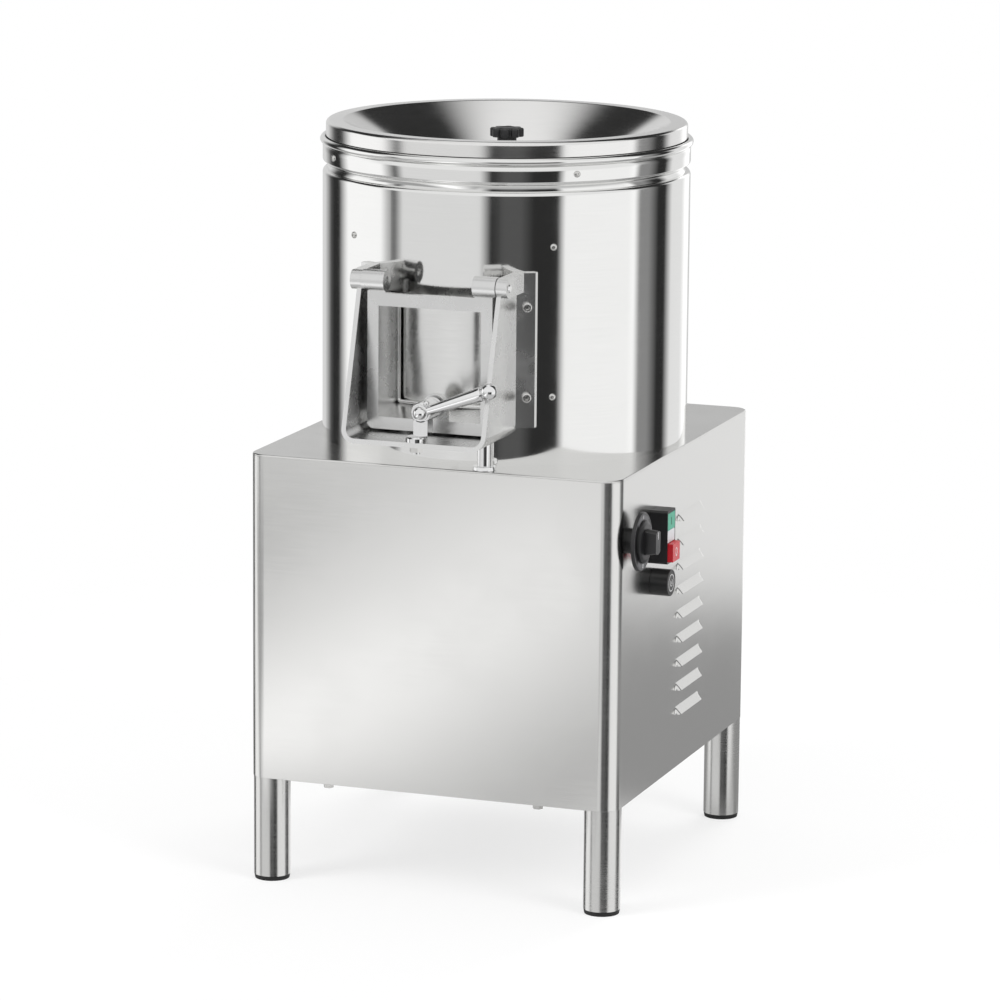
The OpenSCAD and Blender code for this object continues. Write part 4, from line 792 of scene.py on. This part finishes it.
# ---------- chute, door and latch ----------
def plate_fold():
    """Rounded fold where the door's closing plate meets the walls of its recess."""
    side, low, high, corner = 51.6, 536.0, 641.5, 3.0
    curve_r, seat_r, out_r, along_r = 197.5, 197.4, 2.3, 2.4
    longest = 6
    flat = []
    for right, z, start in ((1, high - corner, 0), (-1, high - corner, 90), (-1, low + corner, 180),
                            (1, low + corner, 270)):
        flat += arc(right * (side - corner), z, corner, start, start + 90, 6)
    path = []
    for (x, z), (x2, z2) in zip(flat, flat[1:] + flat[:1]):
        steps = max(1, int(abs(x2 - x) / longest))
        path += [(x + (x2 - x) * k / steps, z + (z2 - z) * k / steps) for k in range(steps)]
    turns = [2 * pi * k / 10 for k in range(10)]
    bm = bmesh.new()
    rings = []
    for i, (x, z) in enumerate(path):
        ahead, behind = path[(i + 1) % len(path)], path[i - 1]
        run = Vector((ahead[0] - behind[0], 0, ahead[1] - behind[1])).normalized()
        away = Vector((x / curve_r, -(1 - (x / curve_r) ** 2) ** 0.5, 0))
        across = run.cross(away).normalized()
        at = Vector((DRUM_X, DRUM_Y, z)) + away * seat_r
        rings.append([bm.verts.new((at + away * out_r * cos(t) + across * along_r * sin(t)) * MM)
                      for t in turns])
    for a, b in zip(rings, rings[1:] + rings[:1]):
        for k in range(len(turns)):
            m = (k + 1) % len(turns)
            bm.faces.new((a[k], b[k], b[m], a[m]))
    piece("plate_fold", meshed("plate_fold", bm, 60), "door_plate", "edge", False)


def closing_plate():
    """Curved plate that closes the drum wall, rolled back along its edges."""
    side, low, high, face_r, thick = 53.0, 535.0, 644.0, 197.0, 2

    def curl(share, start, depth):
        """How far an edge rolls back, from none at start to its full depth at the rim."""
        return depth * max(0.0, abs(share) - start) ** 2 / (1 - start) ** 2

    def skin(inset):
        columns = []
        for u in shares(48):
            x = side * u
            column = []
            for v in shares(24):
                r = face_r - inset - (curl(u, 0.6, 5.0) + curl(v, 0.8, 1.5))
                column.append((DRUM_X + x, DRUM_Y - (r * r - x * x) ** 0.5,
                               (low + high) / 2 + (high - low) / 2 * v))
            columns.append(column)
        return columns

    bm = bmesh.new()
    two_skins(bm, skin(0), skin(thick), lambda column, level: False, False)
    piece("door_closing_plate", meshed("closing_plate", bm, 60), "door_plate", "plate")


def latch_lever():
    """Hub with its cam, tapered handle, ball and a small stop on the hub's face."""
    hub_front, handle_y, cam_front = -286.5, -285.5, -270.5
    lean, stop_turn, stop_out = radians(20), radians(60), 12
    cam_r, cam_len = 25.2, 16
    x, z = joint_place("lever_turn")[0::2]
    bm = bmesh.new()
    hub = [(5.1, 0), (10.2, 0), (11, 0.8), (11, 12), (11, 29), (10.7, 30), (11, 31), (11, 36.8),
           (10.2, 37.6), (5.1, 38)]
    spin(bm, hub, along((0, 1, 0), (x, hub_front, z)), 64)
    grip = [(0.05, 8.6), (4.5, 8.6), (4.8, 14), (5.9, 32), (7.0, 52), (7.7, 66), (7.9, 71), (7.2, 72.6)]
    ball = arc(0, 80.5, 9.0, -56, 89, 18) + [(0.05, 89.5)]
    spin(bm, grip + ball, along((cos(lean), 0, sin(lean)), (x, handle_y, z)), 48)
    stop = [(0.05, -3.2)] + arc(0, 0, 3.2, -84, 84, 10) + [(0.05, 3.2)]
    way = (cos(stop_turn), 0, sin(stop_turn))
    spin(bm, stop, along(way, (x + stop_out * way[0], handle_y, z + stop_out * way[2])), 20)
    cam = [(-8, -8.2), (8, -8.2)] + [(cam_r * sin(radians(a)), -cam_r * cos(radians(a)))
                                     for a in (18.5, 12, 6, 0, -6, -12, -18.5)]
    prism(bm, cam, Matrix.Translation((x * MM, cam_front * MM, z * MM))
          @ Matrix.Rotation(pi / 2, 4, "X") @ Matrix.Scale(MM, 4), cam_len)
    mesh = edged("latch_lever", meshed("lever", bm, 30), "chrome", None, 0.5, 2, 40)
    piece("latch_lever", mesh, "clamp_lever", "chrome")


dressed("chute_casting", "chute_frame", "cast", "edge", 1.2, 3)
dressed("door_casting", "door", "cast", "edge", 0.9, 3)
closing_plate()
plate_fold()
latch_lever()
dressed("latch_cap", "latch_cap_nut", "chrome", None, 0.3, 2)
dressed("latch_striker", "striker", "chrome", None, 0.4, 2)
dressed("round_post", "chute_post", "chrome", None, 0.3, 2)
dressed("hinge_pin_ends", "hinge_pins", "chrome", None, 0.3, 2)


# ---------- controls on the right wall ----------
PRINT = 0.15


def on_wall(y, z, out):
    """Place on the right wall: +Z points outwards, +X up, one unit is a millimetre."""
    return (Matrix.Translation(Vector((CAB_X + out, y, z)) * MM)
            @ Matrix(((0, 0, 1), (0, 1, 0), (1, 0, 0))).to_4x4() @ Matrix.Scale(MM, 4))


def ring_mark(name, node, key, place, r, line, start=0.0, end=360.0, stretch=1.0):
    """Thin printed ring, or part of one, raised a hair over the face that carries it."""
    bm = bmesh.new()
    n = 48
    whole = end - start >= 360
    turns = [radians(start + (end - start) * i / n) for i in range(n if whole else n + 1)]
    outer = [((r + line) * stretch * cos(t), (r + line) * sin(t)) for t in turns]
    inner = [(r * stretch * cos(t), r * sin(t)) for t in turns]
    place = place @ Matrix.Diagonal((1, 1, PRINT, 1))
    if whole:
        slab(bm, outer, inner, place)
    else:
        prism(bm, outer + inner[::-1], place)
    piece(name, meshed(name, bm, 30), node, key, False)


def bar_mark(name, node, key, place, tall, wide, rise=PRINT):
    """Thin printed bar with rounded ends."""
    bm = bmesh.new()
    r = wide / 2
    outline = arc(tall / 2 - r, 0, r, -90, 90, 6) + arc(-tall / 2 + r, 0, r, 90, 270, 6)
    prism(bm, outline, place @ Matrix.Diagonal((1, 1, rise, 1)))
    piece(name, meshed(name, bm, 30), node, key, False)


def control_parts():
    dressed("switch_dial", "switch_plate", "black", "grey", 0.35, 2)
    dressed("rotary_grip", "rotary_knob", "black", None, 1.1, 3)
    dressed("button_housing", "button_block", "black", None, 0.6, 3)
    dressed("start_cap", "start_button", "green", None, 0.7, 3)
    dressed("stop_cap", "stop_button", "red", None, 0.9, 3)
    dressed("lamp_lens", "signal_lens", "lens", None, 0.8, 3)
    dressed("round_housing", "round_bezel", "black", None, 0.5, 3)
    dressed("round_cap", "round_button", "black", None, 0.4, 2)


def switch_marks():
    """The dial's printed rim, its two fields and marks, and the line on the grip."""
    y, z = joint_place("switch_turn")[1:]
    face, grip_face, mark_out = 14.4, 31.2, 26.2
    dial = on_wall(y, z, face)
    ring_mark("dial_rim_line", "switch_plate", "grey", dial, 29.2, 0.8)
    ring_mark("dial_upper_field", "switch_plate", "grey", dial, 23.6, 4.8, -40, 40)
    ring_mark("dial_lower_field", "switch_plate", "grey", dial, 23.6, 4.8, 140, 220)
    bar_mark("dial_on_mark", "switch_plate", "white", on_wall(y, z + mark_out, face + 0.12), 3.8, 0.9)
    ring_mark("dial_off_mark", "switch_plate", "white", on_wall(y, z - mark_out, face + 0.12), 1.1, 0.5,
              stretch=1.5)
    bar_mark("grip_line", "rotary_knob", "white", on_wall(y, z + 7.5, grip_face), 8, 1.1, 0.12)


def button_marks():
    """A bar on start, a ring on stop, and a ring with a part ring and a tick on the round button."""
    block_y, start_z, stop_z = -110.5, 410.25, 377.0
    bar_mark("start_mark", "start_button", "black", on_wall(block_y, start_z, 19.0), 8.5, 1.3)
    ring_mark("stop_mark", "stop_button", "white", on_wall(block_y, stop_z, 25.0), 2.2, 0.7, stretch=1.6)
    cap = on_wall(-111.0, 342.5, 20.0)
    ring_mark("round_ring", "round_button", "white", cap, 8.6, 0.7)
    ring_mark("round_arc", "round_button", "white", cap, 3.4, 0.6, 30, 320)
    bar_mark("round_tick", "round_button", "white", cap, 3.0, 0.7)


control_parts()
switch_marks()
button_marks()


# ---------- nodes shown as their CAD solids ----------
PLAIN = {
    "satin": ("back_panel", "base_plate", "drum_floor", "drain_pipe", "motor_bracket"),
    "leg": ("leg_front_left", "leg_front_right", "leg_rear_left", "leg_rear_right"),
    "foot": ("feet",),
    "fastener": ("leg_nuts", "base_screws", "back_panel_screws", "latch_bolt", "striker_nut",
                 "housing_screws"),
    "chrome": ("lid_stud", "disc_nut"),
    "brass": ("water_inlet",),
    "black": ("cable_gland",),
    "rubber": ("door_seal", "drive_belt", "shaft_seal"),
    "grey": ("control_box",),
    "enamel": ("motor",),
    "turned": ("motor_shaft", "motor_pulley", "drum_pulley", "main_shaft", "bearing_housing", "bearings"),
    "grit": ("grit_liner", "peeling_disc"),
}
for key, plain_nodes in PLAIN.items():
    for node in plain_nodes:
        finish = nodes[node].data.materials
        finish.clear()
        finish.append(M[key])


# ---------- floor, light and background ----------
def soft_box(t, value, middle, half, soft):
    """1 inside a band of values, falling to 0 over its soft edges."""
    off = calc(t, "ABSOLUTE", calc(t, "SUBTRACT", value, middle))
    return calc(t, "MULTIPLY_ADD", off, -1 / soft, half / soft + 0.5, clamp=True)


def soft_step(t, value, low, high):
    """0 at low, 1 at high, smooth between."""
    return spread(t, value, low, high, smooth=True)


def blend(t, fac, a, b):
    """a where fac is 0, b where it is 1; both are numbers or sockets."""
    rest = calc(t, "SUBTRACT", 1.0, fac)
    return calc(t, "ADD", calc(t, "MULTIPLY", a, rest), calc(t, "MULTIPLY", b, fac))


def mix_shaders(t, fac, a, b):
    """Shader a where fac is 0, b where it is 1."""
    n = t.nodes.new("ShaderNodeMixShader")
    for socket, value in zip(n.inputs, (fac, a, b)):
        link(t, value, socket)
    return n.outputs[0]


def plain_shader(t, kind, colour=None):
    """A shader node of one kind, with its colour if it has one of its own."""
    n = t.nodes.new(kind)
    if colour is not None:
        n.inputs[0].default_value = (colour, colour, colour, 1)
    return n


# Cards round the object: middle and half width in degrees from the camera's side, edge softness, level
CARDS = (
    (180, 30, 14, 0.52),
    (-101, 22, 12, 0.95),
    (-42, 29, 7, 0.68),
    (62, 27.5, 5, 0.88),
    (142, 20, 9, 0.74),
    (-160, 18, 10, 0.10),
    (4, 9, 8, 0.06),
    (96, 9, 10, 0.22),
)
GAP_LEVEL = 0.024
BACK_LEVEL = 0.026
FRONT_LEVEL = 0.80
TOP_LEVEL = 0.82
LOW_LEVEL = 0.5


def sky():
    """White for the camera; for shiny surfaces a studio of white cards and dark gaps round the object."""
    w = bpy.data.worlds.new("Studio")
    bpy.context.scene.world = w
    w.use_nodes = True
    t = w.node_tree
    t.nodes.clear()
    tc = t.nodes.new("ShaderNodeTexCoord")
    sep = t.nodes.new("ShaderNodeSeparateXYZ")
    link(t, tc.outputs["Generated"], sep.inputs[0])
    x, y, z = sep.outputs
    turn = radians(CAMERA_TURN)
    toward = calc(t, "ADD", calc(t, "MULTIPLY", x, sin(turn)), calc(t, "MULTIPLY", y, -cos(turn)))
    right = calc(t, "ADD", calc(t, "MULTIPLY", x, cos(turn)), calc(t, "MULTIPLY", y, sin(turn)))
    round_it = calc(t, "DEGREES", calc(t, "ARCTAN2", right, toward))
    walls = GAP_LEVEL
    for middle, half, soft, level in CARDS:
        # A card at 180 degrees also shows at -180
        for place in (middle, middle - 360) if middle == 180 else (middle,):
            card = soft_box(t, round_it, place, half, soft)
            walls = calc(t, "MULTIPLY_ADD", card, level, walls)
    # Above the walls: a broad softbox over the camera, dark behind, and a small card overhead
    front = calc(t, "MULTIPLY", soft_step(t, z, 0.0, 0.16), soft_step(t, toward, -0.25, 0.25))
    back = calc(t, "MULTIPLY", soft_step(t, z, 0.3, 0.44), soft_step(t, toward, 0.1, -0.1))
    over = calc(t, "ADD", calc(t, "MULTIPLY", z, 0.965),
                calc(t, "ADD", calc(t, "MULTIPLY", toward, -0.25), calc(t, "MULTIPLY", right, -0.10)))
    level = blend(t, front, walls, FRONT_LEVEL)
    level = blend(t, back, level, BACK_LEVEL)
    level = blend(t, soft_step(t, over, 0.89, 0.998), level, TOP_LEVEL)
    level = blend(t, soft_step(t, z, -0.3, -0.55), level, LOW_LEVEL)
    mirrored = plain_shader(t, "ShaderNodeBackground")
    link(t, level, mirrored.inputs[0])
    mirrored.inputs[1].default_value = 1.12
    soft = plain_shader(t, "ShaderNodeBackground", 0.62)
    white = plain_shader(t, "ShaderNodeBackground", 1)
    path = t.nodes.new("ShaderNodeLightPath").outputs
    lit = mix_shaders(t, path["Is Glossy Ray"], soft.outputs[0], mirrored.outputs[0])
    straight = calc(t, "MAXIMUM", path["Is Camera Ray"], path["Is Transmission Ray"])
    out = t.nodes.new("ShaderNodeOutputWorld")
    link(t, mix_shaders(t, straight, lit, white.outputs[0]), out.inputs[0])


def floor_finish():
    """Pale floor that keeps the shadow and fades into the white background. Shiny surfaces see a bright
    strip on it in front and a dark patch behind."""
    m = bpy.data.materials.new("pale floor")
    m.use_nodes = True
    t = m.node_tree
    t.nodes.clear()
    path = t.nodes.new("ShaderNodeLightPath").outputs
    tc = t.nodes.new("ShaderNodeTexCoord")
    length = t.nodes.new("ShaderNodeVectorMath")
    length.operation = "LENGTH"
    link(t, tc.outputs["Object"], length.inputs[0])
    away = length.outputs["Value"]
    sep = t.nodes.new("ShaderNodeSeparateXYZ")
    link(t, tc.outputs["Object"], sep.inputs[0])
    x, y = sep.outputs[:2]

    diffuse = plain_shader(t, "ShaderNodeBsdfDiffuse", 0.9)
    glow = plain_shader(t, "ShaderNodeEmission")
    clear = plain_shader(t, "ShaderNodeBsdfTransparent")
    lit = mix_shaders(t, calc(t, "MULTIPLY", path["Is Camera Ray"], 0.7), diffuse.outputs[0], glow.outputs[0])
    plain = mix_shaders(t, soft_step(t, away, 0.55, 1.5), lit, clear.outputs[0])

    strip = soft_box(t, x, -0.44, 0.16, 0.62)
    ahead = calc(t, "MULTIPLY", soft_step(t, y, -0.4, -0.75), soft_step(t, away, 2.55, 2.35))
    ahead = calc(t, "MULTIPLY", ahead, soft_step(t, x, 0.1, -0.06))
    behind = calc(t, "MULTIPLY", soft_step(t, y, 0.05, 0.3), soft_step(t, away, 1.7, 1.1))
    level = calc(t, "MULTIPLY_ADD", calc(t, "MULTIPLY", strip, ahead), 1.3, 0.40)
    shown = plain_shader(t, "ShaderNodeEmission")
    link(t, calc(t, "MULTIPLY_ADD", behind, -0.06, level), shown.inputs[0])
    mirrored = mix_shaders(t, calc(t, "MAXIMUM", ahead, behind), clear.outputs[0], shown.outputs[0])

    out = t.nodes.new("ShaderNodeOutputMaterial")
    link(t, mix_shaders(t, path["Is Glossy Ray"], plain, mirrored), out.inputs[0])
    return m


def floor_disc():
    bm = bmesh.new()
    bmesh.ops.create_circle(bm, cap_ends=True, segments=96, radius=2.6)
    mesh = bpy.data.meshes.new("Floor")
    bm.to_mesh(mesh)
    bm.free()
    ob = bpy.data.objects.new("floor", mesh)
    bpy.context.scene.collection.objects.link(ob)
    mesh.materials.append(floor_finish())


def lamp(name, place, aim, size, power):
    data = bpy.data.lights.new(name, "AREA")
    data.shape = "DISK"
    data.size = size
    data.energy = power
    ob = bpy.data.objects.new(name, data)
    ob.location = place
    ob.rotation_euler = (Vector(aim) - Vector(place)).to_track_quat("-Z", "Y").to_euler()
    ob.visible_glossy = False
    bpy.context.scene.collection.objects.link(ob)


def studio():
    sky()
    floor_disc()
    lamp("Left softbox", (-2.2, -2.4, 2.3), (0, 0, 0.4), 1.8, 70)
    lamp("Right softbox", (2.6, -1.2, 1.9), (0, 0, 0.4), 1.5, 45)
    lamp("Back softbox", (0.4, 2.6, 2.6), (0, 0, 0.5), 1.8, 50)
    bpy.context.scene.view_settings.view_transform = "Standard"


photo_camera()
studio()
